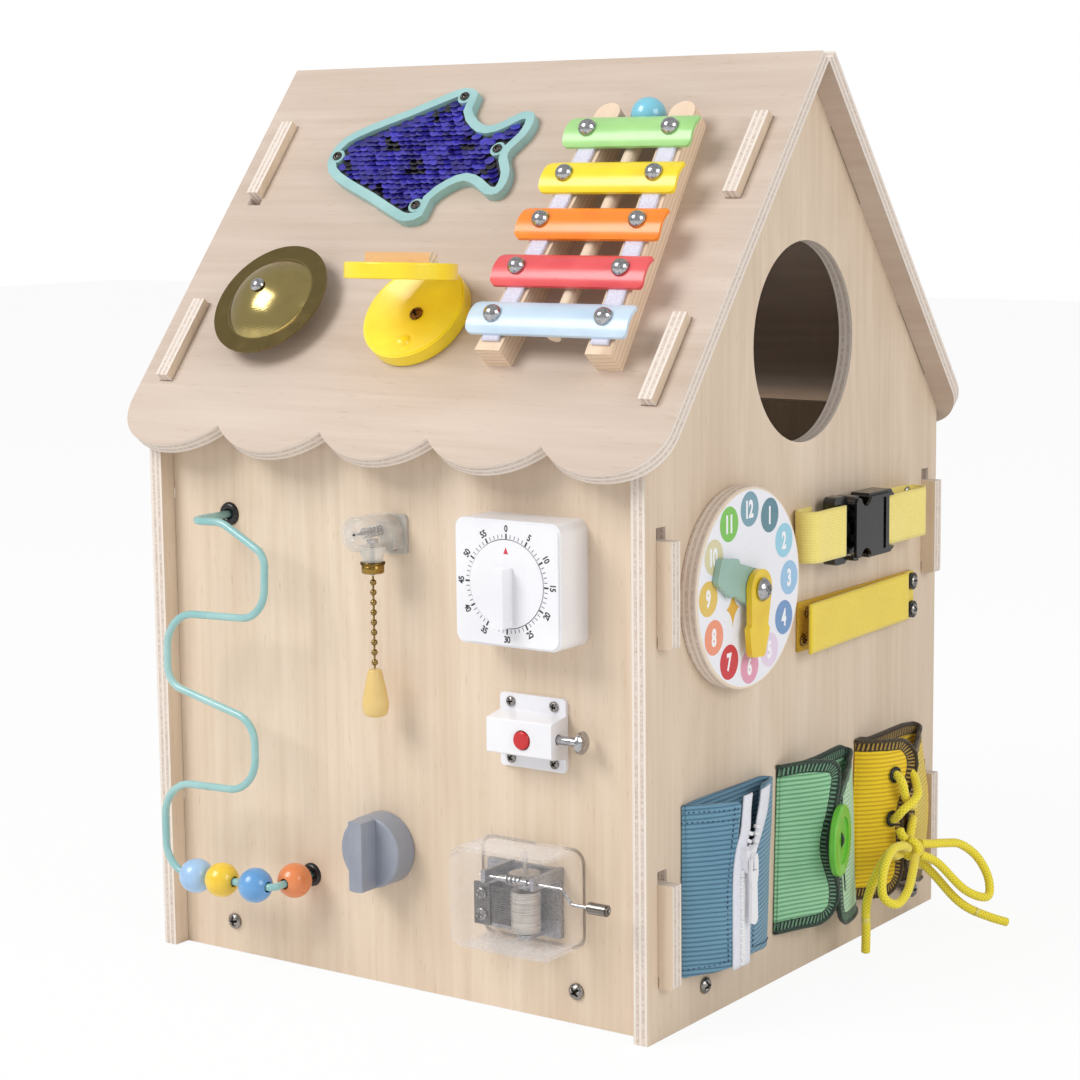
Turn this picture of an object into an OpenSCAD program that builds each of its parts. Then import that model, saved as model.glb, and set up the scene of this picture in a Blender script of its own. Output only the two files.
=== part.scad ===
// House-shaped activity cube: plywood house, maze wire, switches, clock, cloth fastenings, roof toys.
// Millimetres, +Z up. X runs along the front, Y goes to the back.
// The origin is the middle of the front panel's foot, on the surface the house stands on.

/* [House] */
// Length between the outer faces of the two gable walls
house_w = 300; // [290:1:320]
// Depth of the gable walls, front edge to back edge
house_d = 290; // [280:1:300]
// Thickness of every plywood sheet
ply_t = 7.5; // [6:0.5:8.5]
// Height of the line where the outer roof faces would meet
ridge_h = 462; // [455:1:480]
// Pitch of the two roof slopes
roof_pitch = 51; // [50:0.5:52]
// Roof overhang past each gable wall
roof_over = 13; // [9:1:16]
// Setback of front and back panels from the gable edges
panel_set = 9.5; // [8:0.5:11]
// Space between the panels' upper edge and the roof sheet above it
panel_gap = 9.75; // [9:0.25:14]
// Play round every tab, tenon and sheet edge that slots together
ply_play = 0.25; // [0.15:0.05:0.4]
// Gap between the two roof sheets at the ridge
ridge_gap = 0.4; // [0.2:0.1:1]
// Radius of the gable windows
window_r = 49.2; // [40:0.2:56]
// Distance from the ridge line down to the window centres
window_drop = 146.5; // [137:0.5:152]
// Height of the floor panel's underside
floor_z = 12.25; // [11:0.25:12.25]

/* [Roof edge] */
// Number of scallops along the eave
scallops = 5; // [4:1:7]
// Slope length from ridge cut to the cusps between scallops
eave_s = 230; // [226:1:236]
// How far each scallop hangs below its cusps
scallop_h = 13.5; // [9:0.5:16]
// Radius of the outer eave corners
eave_corner_r = 25; // [20:1:28]

/* [Tabs and tenons] */
// Height of each panel tab
tab_h = 49.4; // [44:0.2:54]
// Depth of the hook under each tab
hook_drop = 5.7; // [4:0.1:7]
// How far the tabs stand out of the wall
tab_out = 8; // [6:0.5:10]
// Foot of the lower tab
tab_z = 25.3; // [22:0.1:30]
// Distance from the panels' upper edge down to the upper tab
tab_drop = 39.1; // [34:0.1:46]
// Slope distance from ridge cut to the first roof tenon
tenon_s = 40; // [36:1:46]
// Length of each roof tenon along the slope
tenon_len = 48; // [40:1:52]
// Spacing of the two tenons along the slope
tenon_pitch = 117; // [112:1:122]
// How far the tenons stand above the roof
tenon_out = 5; // [3:0.5:7]
// Play round a tenon in its roof slot
slot_play = 0.6; // [0.4:0.1:1]

/* [Screws] */
// Diameter of the panel screw heads
screw_head_d = 8; // [7:0.5:9]
// Diameter of the panel screw shanks
screw_d = 3.2; // [2.8:0.1:3.6]
// Depth that screws bite into the wood
screw_bite = 5; // [4:0.5:5.5]
// Diameter of the small screw heads
small_head_d = 6; // [5:0.5:6.5]
// Diameter of the small screw shanks
small_d = 2.4; // [2:0.1:2.8]
// Radial play of a shank in its hole
screw_play = 0.05; // [0.03:0.01:0.1]

/* [Bead maze] */
// Diameter of the maze wire
wire_d = 3.8; // [3.4:0.1:4.2]
// Distance of the wire's plane from the front panel
wire_off = 30; // [27:0.5:33]
// Diameter of the beads
bead_d = 17.5; // [16:0.25:18.5]
// Diameter of the hole through each bead
bead_bore = 5.4; // [5.2:0.1:6]
// Outer diameter of the wire grommets
grommet_d = 12; // [11:0.5:13]

/* [Pull switch] */
// X of the switch on the front panel
switch_x = -0.5; // [-6:0.5:6]
// Height of the switch drum's centre
switch_z = 229.5; // [226:0.5:233]
// Diameter of the clear drum
drum_d = 17; // [16:0.5:18.5]
// Wall of the clear drum
drum_wall = 1.2; // [1:0.1:1.4]
// Distance of the drum's front cap from the panel
drum_off = 30; // [28:0.5:32]
// Distance of the chain from the panel
chain_off = 16; // [15:0.5:17]
// Number of balls in the pull chain
chain_balls = 9; // [7:1:11]
// Spacing of the chain balls
chain_pitch = 4.87; // [4.5:0.01:5]
// Length of the wooden pull
pull_len = 23.2; // [20:0.2:26]
// Largest diameter of the wooden pull
pull_d = 13; // [11:0.5:15]

/* [Timer] */
// Width and height of the timer box
timer_w = 59; // [54:1:62]
// Depth of the timer box
timer_t = 23; // [20:0.5:25]
// X of the timer's centre
timer_x = 83.3; // [80:0.1:86]
// Height of the timer's centre
timer_z = 212; // [208:0.5:214]
// Diameter of the timer dial
dial_d = 41; // [38:0.5:42]
// Height of the dial's grip ridge
ridge_up = 8; // [6:0.5:10]

/* [Push latch] */
// X of the middle of the latch
latch_x = 82.3; // [78:0.1:86]
// Height of the latch's bolt
latch_z = 138.6; // [136:0.2:142]
// Width of the latch plate
latch_w = 37.5; // [35:0.5:40]
// Height of the latch plate
latch_h = 35.2; // [34:0.2:38]
// Depth of the latch housing
latch_t = 15; // [14:0.5:17]
// Diameter of the red button
latch_button_d = 8.7; // [8:0.1:10]
// Travel of the red button
latch_press = 2; // [1:0.1:2.2]
// Diameter of the sliding bolt
bolt_d = 4.3; // [4:0.1:4.6]
// How far the bolt stands out
bolt_out = 12.6; // [12:0.1:14]
// Travel of the bolt into the housing
bolt_throw = 12; // [8:0.5:12]

/* [Turn knob] */
// X of the knob
knob_x = -8.5; // [-14:0.5:0]
// Height of the knob's centre
knob_z = 70; // [60:1:80]
// Diameter of the knob
knob_d = 36; // [32:0.5:40]
// Thickness of the knob's disc
knob_t = 13; // [11:0.5:15]
// Width of the grip bar
knob_bar_w = 8; // [7:0.5:10]
// Height of the grip bar above the disc
knob_bar_up = 11; // [9:0.5:13]

/* [Music box] */
// Width of the clear case
music_w = 60; // [58:1:64]
// Height of the clear case
music_h = 48.8; // [47:0.2:52]
// Depth of the clear case
music_t = 28; // [27:0.5:31]
// Wall of the clear case
music_wall = 1.6; // [1.2:0.1:2]
// X of the case's centre
music_x = 80; // [78:0.5:82]
// Height of the case's centre
music_z = 61; // [58:0.5:64]
// Number of notes, teeth of the comb and tracks of the cylinder
notes = 18; // [15:1:20]
// Spacing of the notes
note_pitch = 1; // [0.9:0.01:1.04]
// Diameter of the pinned cylinder
drum_music_d = 14; // [13:0.2:14.6]
// Height of the pins on the cylinder
pin_up = 0.5; // [0.4:0.05:0.6]
// Number of pins on each track
pins_per_note = 4; // [3:1:6]
// Teeth of the wheel that the worm drives
wheel_teeth = 20; // [20:1:21]
// Axial pitch of the worm
worm_pitch = 2.3; // [2.2:0.02:2.36]
// Throw of the crank
crank_throw = 6.5; // [5:0.5:8]
// Diameter of the crank wire
crank_d = 1.6; // [1.4:0.1:1.8]

/* [Clock] */
// Distance of the clock's centre in front of the wall's middle
clock_y = -68; // [-74:1:-64]
// Height of the clock's centre
clock_z = 204; // [200:1:210]
// Radius of the clock face
clock_r = 48; // [44:0.5:50]
// Thickness of the clock face
clock_t = 9; // [7.5:0.5:10]
// Thickness of each hand
hand_t = 3; // [2.5:0.1:3.4]
// Length of the hour hand
hour_len = 32; // [28:0.5:34]
// Length of the minute hand
minute_len = 35; // [32:0.5:38]
// Diameter of the clock bolt
clock_pin_d = 6; // [5:0.2:6.6]

/* [Buckle] */
// Height of the webbing's centre line
web_z = 221; // [219:0.5:223]
// Width of the webbing
web_w = 25.5; // [23:0.5:26]
// Thickness of the webbing
web_t = 1.5; // [1.2:0.1:1.8]
// Stand-off of the webbing's front layer
web_off = 12.5; // [11:0.5:13.5]
// Height of the buckle socket
socket_h = 32.5; // [31:0.5:34]
// Length of the buckle socket
socket_len = 42.5; // [40:0.5:44]
// Thickness of the buckle
socket_t = 12; // [11:0.5:12.5]
// How far the plug slides out
plug_out = 10; // [6:0.5:11]

/* [Touch-and-close strip] */
// Height of the strip's centre line
strip_z = 175; // [173:0.5:178]
// Width of the strip
strip_w = 25; // [22:0.5:26]
// Thickness of each layer of the strip
strip_t = 1.5; // [1.2:0.1:1.8]
// Length of the free flap
flap_len = 106; // [98:1:110]
// Lift of the flap's free end
flap_lift = 6; // [4:0.5:8]

/* [Cloth fastenings] */
// Thickness of the felt cloths
felt_t = 2; // [1.6:0.1:2.4]
// Stand-off of the cloths at their fastening line
felt_off = 16; // [14:0.5:17]
// Lower edge of the cloths
felt_z = 25; // [25:0.5:30]
// Height of the cloths
felt_h = 83; // [80:1:86]
// Diameter of the big button
button_d = 36; // [32:0.5:38]
// Thickness of the big button
button_t = 3.6; // [3:0.1:4.2]
// Turn of the big button toward the back
button_turn = 15.5; // [12:0.5:18]
// Length of the zip pull
pull_tab_len = 28; // [24:0.5:32]
// Diameter of the lace
lace_d = 4; // [3.6:0.1:4.2]

/* [Fish] */
// Thickness of the fish frame
fish_t = 5; // [4:0.5:6.5]
// Width of the fish frame's band
fish_band = 5; // [4:0.5:6]
// Slope distance of the fish's long axis
fish_s = 63.5; // [61:0.5:67]

/* [Cymbal] */
// X of the cymbal's bolt
cymbal_x = -92.5; // [-95:0.5:-90]
// Slope distance of the cymbal's bolt
cymbal_s = 160; // [157:0.5:163]
// Radius of the cymbal
cymbal_r = 33; // [30:0.5:35]
// Radius of the cymbal's dome
cymbal_dome_r = 25; // [22:0.5:26]
// Height of the cymbal's dome
cymbal_dome_h = 12; // [9:0.5:13]
// Sheet thickness of the cymbal
cymbal_t = 0.8; // [0.6:0.1:1.2]
// Stand-off of the cymbal's rim from the roof
cymbal_off = 10; // [8:0.5:12]

/* [Castanet] */
// Radius of the base disc
cast_r = 28; // [26:0.5:29]
// Thickness of each disc
cast_t = 8; // [7:0.5:9]
// Depth of the dished faces
cast_dish = 3.6; // [3:0.1:4]
// Opening angle of the clapper
cast_open = 54; // [45:1:60]
// X of the base disc
cast_x = -2; // [-6:0.5:2]
// Slope distance of the base disc
cast_s = 162.5; // [160:0.5:165]

/* [Xylophone] */
// Length of the shortest bar
bar_min = 73; // [68:0.5:75]
// Growth of each next bar
bar_grow = 4.25; // [3.5:0.05:4.6]
// Width of each bar
bar_w = 18; // [16:0.5:20]
// Sheet thickness of the bars
bar_t = 1.6; // [1.2:0.1:2]
// Rise of the arch across each bar
bar_rise = 3; // [2:0.1:4]
// Spacing of the bars
bar_pitch = 27.6; // [26.5:0.1:28]
// X of the xylophone's middle
xylo_x = 87; // [85:0.5:89]
// Width of the rails
rail_w = 14; // [12:0.5:15]
// Height of the rails
rail_h = 13; // [12:0.5:15]
// Length of the mallet's stick
stick_len = 126; // [120:1:130]
// Diameter of the mallet's stick
stick_d = 7.5; // [7:0.1:8]
// Diameter of the mallet's ball
ball_d = 17.5; // [16.5:0.5:18]

/* [Hidden] */
eps = 0.01;
run_play = 0.05;
part_gap = 0.4;
hw = house_w / 2;
hd = house_d / 2;
mid_y = hd - panel_set - ply_t / 2;
apex_z = ridge_h - ply_t / cos(roof_pitch);
eave_z = apex_z - hd * tan(roof_pitch);
panel_h = apex_z - (mid_y + ply_t / 2) * tan(roof_pitch) - panel_gap;
tab_pitch = panel_h - tab_drop - tab_h - tab_z;
window_z = ridge_h - window_drop;
roof_top = ply_t * tan(roof_pitch) + ridge_gap / 2 / cos(roof_pitch);
roof_hw = hw + roof_over;
in_w = house_w - 2 * ply_t;
in_d = 2 * (mid_y - ply_t / 2);
maze_r = bead_d / 2;

// ---- frames: each child's X and Y lie in the face and its Z points out of it ----
module on_roof(x, s, off = 0) {
    translate([x, mid_y, ridge_h]) rotate([roof_pitch, 0, 0])
        translate([0, -(s + roof_top), off]) children();
}

module on_wall(y, z, off = 0) {
    translate([hw + off, mid_y + y, z]) rotate([90, 0, 90]) children();
}

module on_front(x, z, off = 0) {
    translate([x, -ply_t / 2 - off, z]) rotate([90, 0, 0]) children();
}

module mirror_back() {
    translate([0, mid_y, 0]) mirror([0, 1, 0]) translate([0, -mid_y, 0]) children();
}

// ---- shared shapes ----
module round_square(w, h, r) {
    square([w - 2 * r, h], center = true);
    square([w, h - 2 * r], center = true);
    for (x = [-1, 1], y = [-1, 1])
        translate([x * (w / 2 - r), y * (h / 2 - r)]) circle(r, $fn = 48);
}

// Domed pan head on a plain shank; the head's underside is at z = 0.
module pan_screw(head_d, shank_d, bite) {
    translate([0, 0, -bite]) cylinder(h = bite + eps, d = shank_d, $fn = 32);
    rotate_extrude($fn = 48) {
        square([head_d / 2, head_d * 0.16]);
        intersection() {
            translate([0, head_d * 0.36 - head_d * 0.72]) circle(head_d * 0.72, $fn = 96);
            translate([0, head_d * 0.1]) square([head_d / 2, head_d]);
        }
    }
}

// Smooth line through the points p, n steps between each pair.
function spline_at(a, b, c, d, t) =
    0.5 * ((2 * b) + (c - a) * t + (2 * a - 5 * b + 4 * c - d) * t * t
        + (3 * b - a - 3 * c + d) * t * t * t);
function spline(p, n) = [for (i = [0:len(p) - 2], k = [0:n - 1])
    spline_at(p[max(i - 1, 0)], p[i], p[i + 1], p[min(i + 2, len(p) - 1)], k / n),
    p[len(p) - 1]];
function unit(v) = v / norm(v);
function tangent(p, i) = unit(p[min(i + 1, len(p) - 1)] - p[max(i - 1, 0)]);

// ---- screws: every place where one bites, used for the screws and for their holes ----
// [distance from the wall's middle, height, how far the head stands proud]
wall_screws = [[-94.6, 16, 0], [110, floor_z + 2.3, 5.5]];
panel_screws = [[-109, 16], [104.6, 16]];

module edge_fixings(head_d, play) {
    deep = ply_t + 8;
    for (m = [0, 1]) mirror([m, 0, 0]) for (w = wall_screws)
        on_wall(w[0], w[1], w[2])
            pan_screw(head_d, screw_d + 2 * play, deep + w[2]);
    for (p = panel_screws) {
        on_front(p[0], p[1]) pan_screw(head_d, screw_d + 2 * play, deep);
        mirror_back() on_front(p[0], p[1]) pan_screw(head_d, screw_d + 2 * play, deep);
    }
}

flap_hinge_y = 104;
// [y, z, stand-off of the head] of the small screws on the right wall
strap_screws = [[107.8, web_z + web_w / 2 - 3.5, web_t], [-3.8, web_z - 6, web_t]];
strip_screws = [[-3.3, strip_z - 6.8, strip_t], [1.7, strip_z + 6.5, strip_t],
    [flap_hinge_y + 7, strip_z - 7.8, 2 * strip_t + 1.6],
    [flap_hinge_y + 7, strip_z + 7.3, 2 * strip_t + 1.6]];
fish_screws = [[-99.5, fish_s + 1], [-34, fish_s - 37], [1.8, fish_s - 2.5],
    [-33.2, fish_s + 33]];

module small_fixings(head_d, play) {
    d = small_d + 2 * play;
    for (w = concat(strap_screws, strip_screws))
        on_wall(w[0], w[1], w[2]) pan_screw(head_d, d, screw_bite + w[2]);
    for (f = fish_screws) on_roof(f[0], f[1], fish_t) pan_screw(head_d, d, screw_bite + fish_t);
    on_roof(cast_x, cast_s, cast_t - cast_dish + 0.1)
        pan_screw(head_d + 1, d, screw_bite + cast_t - cast_dish + 0.1);
    for (x = [-1, 1], z = [-1, 1])
        on_front(latch_x + x * (latch_w / 2 - 6.4), latch_z + z * (latch_h / 2 - 4), 2)
            pan_screw(head_d - 1, d, screw_bite + 2);
    for (z = [-1, 1]) on_front(switch_x + 2.6, switch_z - 2.7 + z * 6, 2)
        pan_screw(head_d - 2, d, screw_bite + 2);
}

module pan_head_screws() {
    color("silver") {
        edge_fixings(screw_head_d, 0);
        small_fixings(small_head_d, 0);
    }
}

module fixing_holes() {
    edge_fixings(screw_d, screw_play);
    small_fixings(small_d, screw_play);
    pin_holes();
}

// ---- plywood sheets ----
module gable_outline() {
    polygon([[-hd, 0], [hd, 0], [hd, eave_z], [0, apex_z], [-hd, eave_z]]);
    for (m = [0, 1]) mirror([m, 0]) for (k = [0, 1])
        translate([0, ridge_h]) rotate(roof_pitch)
            translate([-(tenon_s + k * tenon_pitch + tenon_len + roof_top), -ply_t - 1])
                square([tenon_len, ply_t + 1 + tenon_out]);
}

// Slots that take the hooked tabs of the front and back panels
module tab_slots() {
    for (m = [0, 1]) mirror([m, 0]) for (k = [0, 1])
        translate([-mid_y - ply_t / 2 - ply_play, tab_z + hook_drop + k * tab_pitch])
            square([ply_t + 2 * ply_play, tab_h + ply_play]);
}

module gable_wall(toys) {
    difference() {
        on_wall(0, 0, -ply_t) linear_extrude(ply_t) difference() {
            gable_outline();
            tab_slots();
            translate([0, window_z]) circle(window_r, $fn = 160);
        }
        if (toys) fixing_holes();
        if (!toys) edge_fixings(screw_d, screw_play);
    }
}

module right_wall() { color("burlywood") gable_wall(true); }
module left_wall() { color("burlywood") mirror([1, 0, 0]) gable_wall(false); }

// Front panel in its own plane, with two hooked tabs at each end
module panel_outline() {
    translate([-in_w / 2 + ply_play, 0]) square([in_w - 2 * ply_play, panel_h]);
    for (m = [0, 1]) mirror([m, 0]) for (k = [0, 1]) translate([0, tab_z + k * tab_pitch]) {
        translate([in_w / 2 - ply_t, hook_drop])
            square([2 * ply_t + tab_out, tab_h - hook_drop]);
        translate([hw + 2 * ply_play, 0]) difference() {
            square([tab_out - 2 * ply_play, tab_h]);
            translate([tab_out - 2 * ply_play - 2, 0]) square([2 + eps, 2]);
        }
        translate([hw + tab_out - 2, 2]) circle(2, $fn = 32);
    }
}

module panel_sheet() {
    difference() {
        on_front(0, 0, -ply_t) linear_extrude(ply_t) panel_outline();
        edge_fixings(screw_d, screw_play);
    }
}

module front_panel() {
    color("wheat") difference() {
        panel_sheet();
        small_fixings(small_d, screw_play);
        pin_holes();
        for (g = grommets) on_front(g[0], g[1], -ply_t - 1)
            cylinder(h = ply_t + 2, r = wire_d / 2 + 1.6, $fn = 48);
    }
}

module back_panel() {
    color("wheat") mirror_back() panel_sheet();
}

module floor_panel() {
    color("wheat") difference() {
        translate([-in_w / 2 + ply_play, mid_y - in_d / 2 + ply_play, floor_z])
            cube([in_w - 2 * ply_play, in_d - 2 * ply_play, ply_t]);
        edge_fixings(screw_d, screw_play);
    }
}

scallop_w = 2 * roof_hw / scallops;
scallop_r = (pow(scallop_w / 2, 2) + pow(scallop_h, 2)) / (2 * scallop_h);
scallop_cs = eave_s + scallop_h - scallop_r;
corner_x = roof_hw - eave_corner_r;
corner_dx = corner_x - (roof_hw - scallop_w / 2);
corner_ds = sqrt(pow(scallop_r - eave_corner_r, 2) - pow(corner_dx, 2));
corner_s = scallop_cs + corner_ds;
join_x = roof_hw - scallop_w / 2 + corner_dx * scallop_r / (scallop_r - eave_corner_r);

// Roof sheet seen square on, with the ridge cut along Y = 0 and the eave below
module roof_outline() {
    translate([-roof_hw, -corner_s]) square([2 * roof_hw, corner_s]);
    for (m = [-1, 1]) translate([m * corner_x, -corner_s]) circle(eave_corner_r, $fn = 128);
    for (i = [0:scallops - 1]) {
        x0 = -roof_hw + (i + 0.5) * scallop_w;
        left = i == 0 ? -join_x : x0 - scallop_w / 2;
        right = i == scallops - 1 ? join_x : x0 + scallop_w / 2;
        intersection() {
            translate([x0, -scallop_cs]) circle(scallop_r, $fn = 256);
            translate([left, -corner_s - 2 * scallop_r]) square([right - left, 2 * scallop_r + eps]);
        }
    }
}

// The front sheet's upper left slot is cut longer at its lower end.
module roof_sheet(extra) {
    on_roof(0, 0, -ply_t) linear_extrude(ply_t) difference() {
        roof_outline();
        for (m = [-1, 1], k = [0, 1]) {
            more = m < 0 && k == 0 ? extra : 0;
            translate([m * (hw - ply_t / 2) - ply_t / 2 - slot_play,
                -(tenon_s + k * tenon_pitch + tenon_len) - slot_play - more])
                square([ply_t + 2 * slot_play, tenon_len + 2 * slot_play + more]);
        }
    }
}

module front_roof() {
    color("bisque") difference() {
        roof_sheet(4);
        fixing_holes();
    }
}

module rear_roof() { color("bisque") mirror_back() roof_sheet(0); }

// ---- pivots and domed nails ----
knob_pin_d = 6;
dial_pin_d = 6;
cymbal_pin_d = 4;
nail_d = 3;
nail_head_d = 9;
felt_pad_t = 1.8;
bar_off = rail_h + felt_pad_t;
function bar_s(i) = 60.9 + i * bar_pitch;
function rail_x(s) = 21.3 + (s - 47) * 0.069;
function pin_x(i) = rail_x(bar_s(i)) + 1.2;

// Round bolt standing out of a face: bite below it, plain shank, domed head on top
module headed_pin(d, bite, up, head_d, head_h) {
    translate([0, 0, -bite]) cylinder(h = bite + up + eps, d = d, $fn = 48);
    if (head_h > 0) translate([0, 0, up]) rotate_extrude($fn = 64) intersection() {
        square([head_d / 2, head_h]);
        translate([0, head_h - dome_r(head_d, head_h)])
            circle(dome_r(head_d, head_h), $fn = 128);
    }
}
// Radius of a dome whose edge lies half a head's height below its top
function dome_r(d, h) = (d * d / 4 + h * h * 0.64) / (2 * h * 0.8);

clock_pin_up = clock_t + part_gap + 2 * (hand_t + part_gap);
cymbal_pin_up = cymbal_off + cymbal_dome_h + part_gap;

module pivots(play) {
    head = play > 0 ? 0 : 1;
    on_front(knob_x, knob_z) headed_pin(knob_pin_d + 2 * play, screw_bite, 9, 0, 0);
    on_front(timer_x, timer_z, timer_t - 2.4) headed_pin(dial_pin_d + 2 * play, 8, 6, 0, 0);
    on_wall(clock_y, clock_z) headed_pin(clock_pin_d + 2 * play, screw_bite, clock_pin_up,
        11, head * 4);
    on_roof(cymbal_x, cymbal_s) headed_pin(cymbal_pin_d + 2 * play, screw_bite, cymbal_pin_up,
        7.5, head * 3);
    on_roof(cymbal_x, cymbal_s) cylinder(h = head * (cymbal_pin_up - cymbal_t - 2 * part_gap - 0.3) + eps,
        d = cymbal_pin_d + 4, $fn = 48);
    for (i = [0:4], m = [-1, 1])
        on_roof(xylo_x + m * pin_x(i), bar_s(i), bar_off + bar_rise + bar_t)
            headed_pin(nail_d + 2 * play, 12, 0, nail_head_d, head * 4.5);
}
module pin_holes() pivots(screw_play);
module pivot_pins() { color("lightslategray") pivots(0); }

// ---- bead maze ----
grommets = [[-105.1, 229.2], [-56.7, 48.6]];
// Corners of the bent wire and the radius of each bend, as X, height, stand-off
wire_corners = [
    [-105.1, 229.2, -ply_t], [-105.1, 229.2, wire_off], [-84, 229.8, wire_off],
    [-56.5, 215.5, wire_off], [-58, 183.5, wire_off], [-122.5, 181.5, wire_off],
    [-123, 145.2, wire_off], [-66, 131.6, wire_off], [-66.2, 96, wire_off],
    [-127.8, 94, wire_off], [-127.6, 46.8, wire_off], [-56.7, 48.6, wire_off],
    [-56.7, 48.6, -ply_t]];
wire_bends = [0, 9, 15, 9.5, 16, 19, 11, 14, 18, 19, 15, 3.5, 0];

// Bend at corner i: [bend angle, length from corner to where the bend starts]
function bend_angle(c, i) = acos(unit(c[i] - c[i - 1]) * unit(c[i + 1] - c[i]));
function bend_cut(c, r, i) = i <= 0 || i >= len(c) - 1 ? 0 : r[i] * tan(bend_angle(c, i) / 2);

// Puts the child's X along u, Y along v and Z along u x v, at point p.
module in_plane(p, u, v) {
    w = cross(u, v);
    multmatrix([[u[0], v[0], w[0], p[0]], [u[1], v[1], w[1], p[1]], [u[2], v[2], w[2], p[2]]])
        children();
}
function square_to(a) = abs(a[2]) > 0.9 ? unit(cross(a, [1, 0, 0])) : unit(cross(a, [0, 0, 1]));

// Points along the corners, with each bend drawn as a true arc in steps of about 15 degrees
function bend_points(c, r, i) = i == 0 || i == len(c) - 1 ? [c[i]] :
    let (a = unit(c[i] - c[i - 1]), b = unit(c[i + 1] - c[i]), n = unit(b - a * (a * b)),
        turn = bend_angle(c, i), m = ceil(turn / 15), o = c[i] - a * bend_cut(c, r, i) + n * r[i])
    [for (k = [0:m]) o + r[i] * (a * sin(k * turn / m) - n * cos(k * turn / m))];
module bent_rod(c, r, d, sides = 12) {
    skin_along([for (i = [0:len(c) - 1]) each bend_points(c, r, i)], d, sides);
}

module maze_wire() { color("darkcyan") on_front(0, 0) bent_rod(wire_corners, wire_bends, wire_d); }

module grommet(d, bore, bore_out, deep) {
    rotate_extrude($fn = 64) {
        difference() {
            translate([bore / 2 + (d - bore) / 4, 0]) circle(d = (d - bore) / 2, $fn = 32);
            translate([0, -d]) square([d, d]);
        }
        if (deep > 0) translate([bore / 2, -deep]) square([bore_out - bore / 2, deep + eps]);
    }
}

module black_grommets() {
    color("black") {
        for (g = grommets) on_front(g[0], g[1])
            grommet(grommet_d, wire_d + 0.2, wire_d / 2 + 1.6 - screw_play, ply_t - 0.5);
        for (w = [2, 3]) on_wall(strip_screws[w][0], strip_screws[w][1], 2 * strip_t)
            difference() {
                cylinder(h = 1.6, d = small_head_d + 3, $fn = 48);
                translate([0, 0, -1]) cylinder(h = 4, d = small_d + 2 * screw_play, $fn = 32);
            }
        for (e = eyelets) lace_wing(e[0], e[1]) translate([0, 0, felt_t])
            grommet(8.8, 4.8, 0, 0);
    }
}

module bead() {
    rotate_extrude($fn = 96) difference() {
        intersection() {
            circle(d = bead_d, $fn = 128);
            square([bead_d, bead_d * 0.94], center = true);
        }
        translate([-bead_d, -bead_d]) square([bead_d + bead_bore / 2, 2 * bead_d]);
    }
}
function on_last(x) = wire_corners[10]
    + (wire_corners[11] - wire_corners[10]) * (x - wire_corners[10][0])
    / (wire_corners[11][0] - wire_corners[10][0]);
module threaded(x) {
    a = unit(wire_corners[11] - wire_corners[10]);
    on_front(0, 0) in_plane(on_last(x), square_to(a), cross(a, square_to(a))) bead();
}
module bead_pale_blue() { color("lightblue") threaded(-107.6); }
module bead_yellow() { color("gold") threaded(-90.4); }
module bead_blue() { color("royalblue") threaded(-68.2); }
module bead_orange() { color("darkorange") on_front(-56.7, 48.6, 13.4) bead(); }

// ---- pull switch ----
collar_z = 209.5;
collar_h = 5.5;
throat_bore = 7;
plunger_d = 2.2;

// Clear drum lying against the panel, with a throat below that carries the brass collar
module switch_solid(r_in, cut) {
    on_front(switch_x, switch_z, cut ? 3 : 2) cylinder(h = drum_off - 2 - (cut ? 1 + drum_wall : 0),
        d = drum_d - 2 * r_in, $fn = 96);
    translate([switch_x, -ply_t / 2 - chain_off, 0]) rotate_extrude($fn = 64) polygon([
        [0, collar_z + collar_h - (cut ? 1 : 0)],
        [4.6 - r_in, collar_z + collar_h - (cut ? 1 : 0)],
        [6.6 - r_in, switch_z - 5], [0, switch_z - 5 + (cut ? 2 : 0)]]);
}

module switch_case() {
    color("gainsboro", 0.6) difference() {
        union() {
            switch_solid(0, false);
            on_front(switch_x + 2.6, switch_z - 2.7) linear_extrude(2) round_square(14, 19.5, 2);
        }
        switch_solid(drum_wall, true);
        small_fixings(small_d, screw_play);
        // Room for the two screw heads
        for (z = [-1, 1]) on_front(switch_x + 2.6, switch_z - 2.7 + z * 6, 2)
            cylinder(h = 3, d = small_head_d - 1.2, $fn = 32);
    }
    color("goldenrod") translate([switch_x, -ply_t / 2 - chain_off, 0]) difference() {
        union() {
            translate([0, 0, collar_z]) cylinder(h = collar_h - 1.4, d = 11, $fn = 64);
            translate([0, 0, collar_z + collar_h - 1.4]) cylinder(h = 1.4, d = 12, $fn = 64);
        }
        translate([0, 0, collar_z - 1]) cylinder(h = collar_h + 2,
            d = plunger_d + 2 * part_gap, $fn = 48);
    }
}

// Catch inside the drum; the chain hangs from its lower end
module switch_plunger() {
    color("silver") translate([switch_x, -ply_t / 2 - chain_off, 0]) {
        translate([0, 0, collar_z - 1]) cylinder(h = switch_z - 4 - collar_z, d = plunger_d, $fn = 32);
        translate([0, 0, switch_z - 5.5]) cylinder(h = 2, d = throat_bore - 1.4, $fn = 48);
    }
}

chain_top = collar_z - 1 - part_gap;
chain_first = chain_top - 3.2;
chain_low = chain_first - (chain_balls - 1) * chain_pitch;
module pull_chain() {
    color("goldenrod") translate([switch_x, -ply_t / 2 - chain_off, 0]) {
        translate([0, 0, chain_low - 3]) cylinder(h = chain_top - chain_low + 3, d = 1, $fn = 16);
        for (i = [0:chain_balls - 1])
            translate([0, 0, chain_first - i * chain_pitch]) sphere(d = 3.2, $fn = 32);
    }
}

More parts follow.
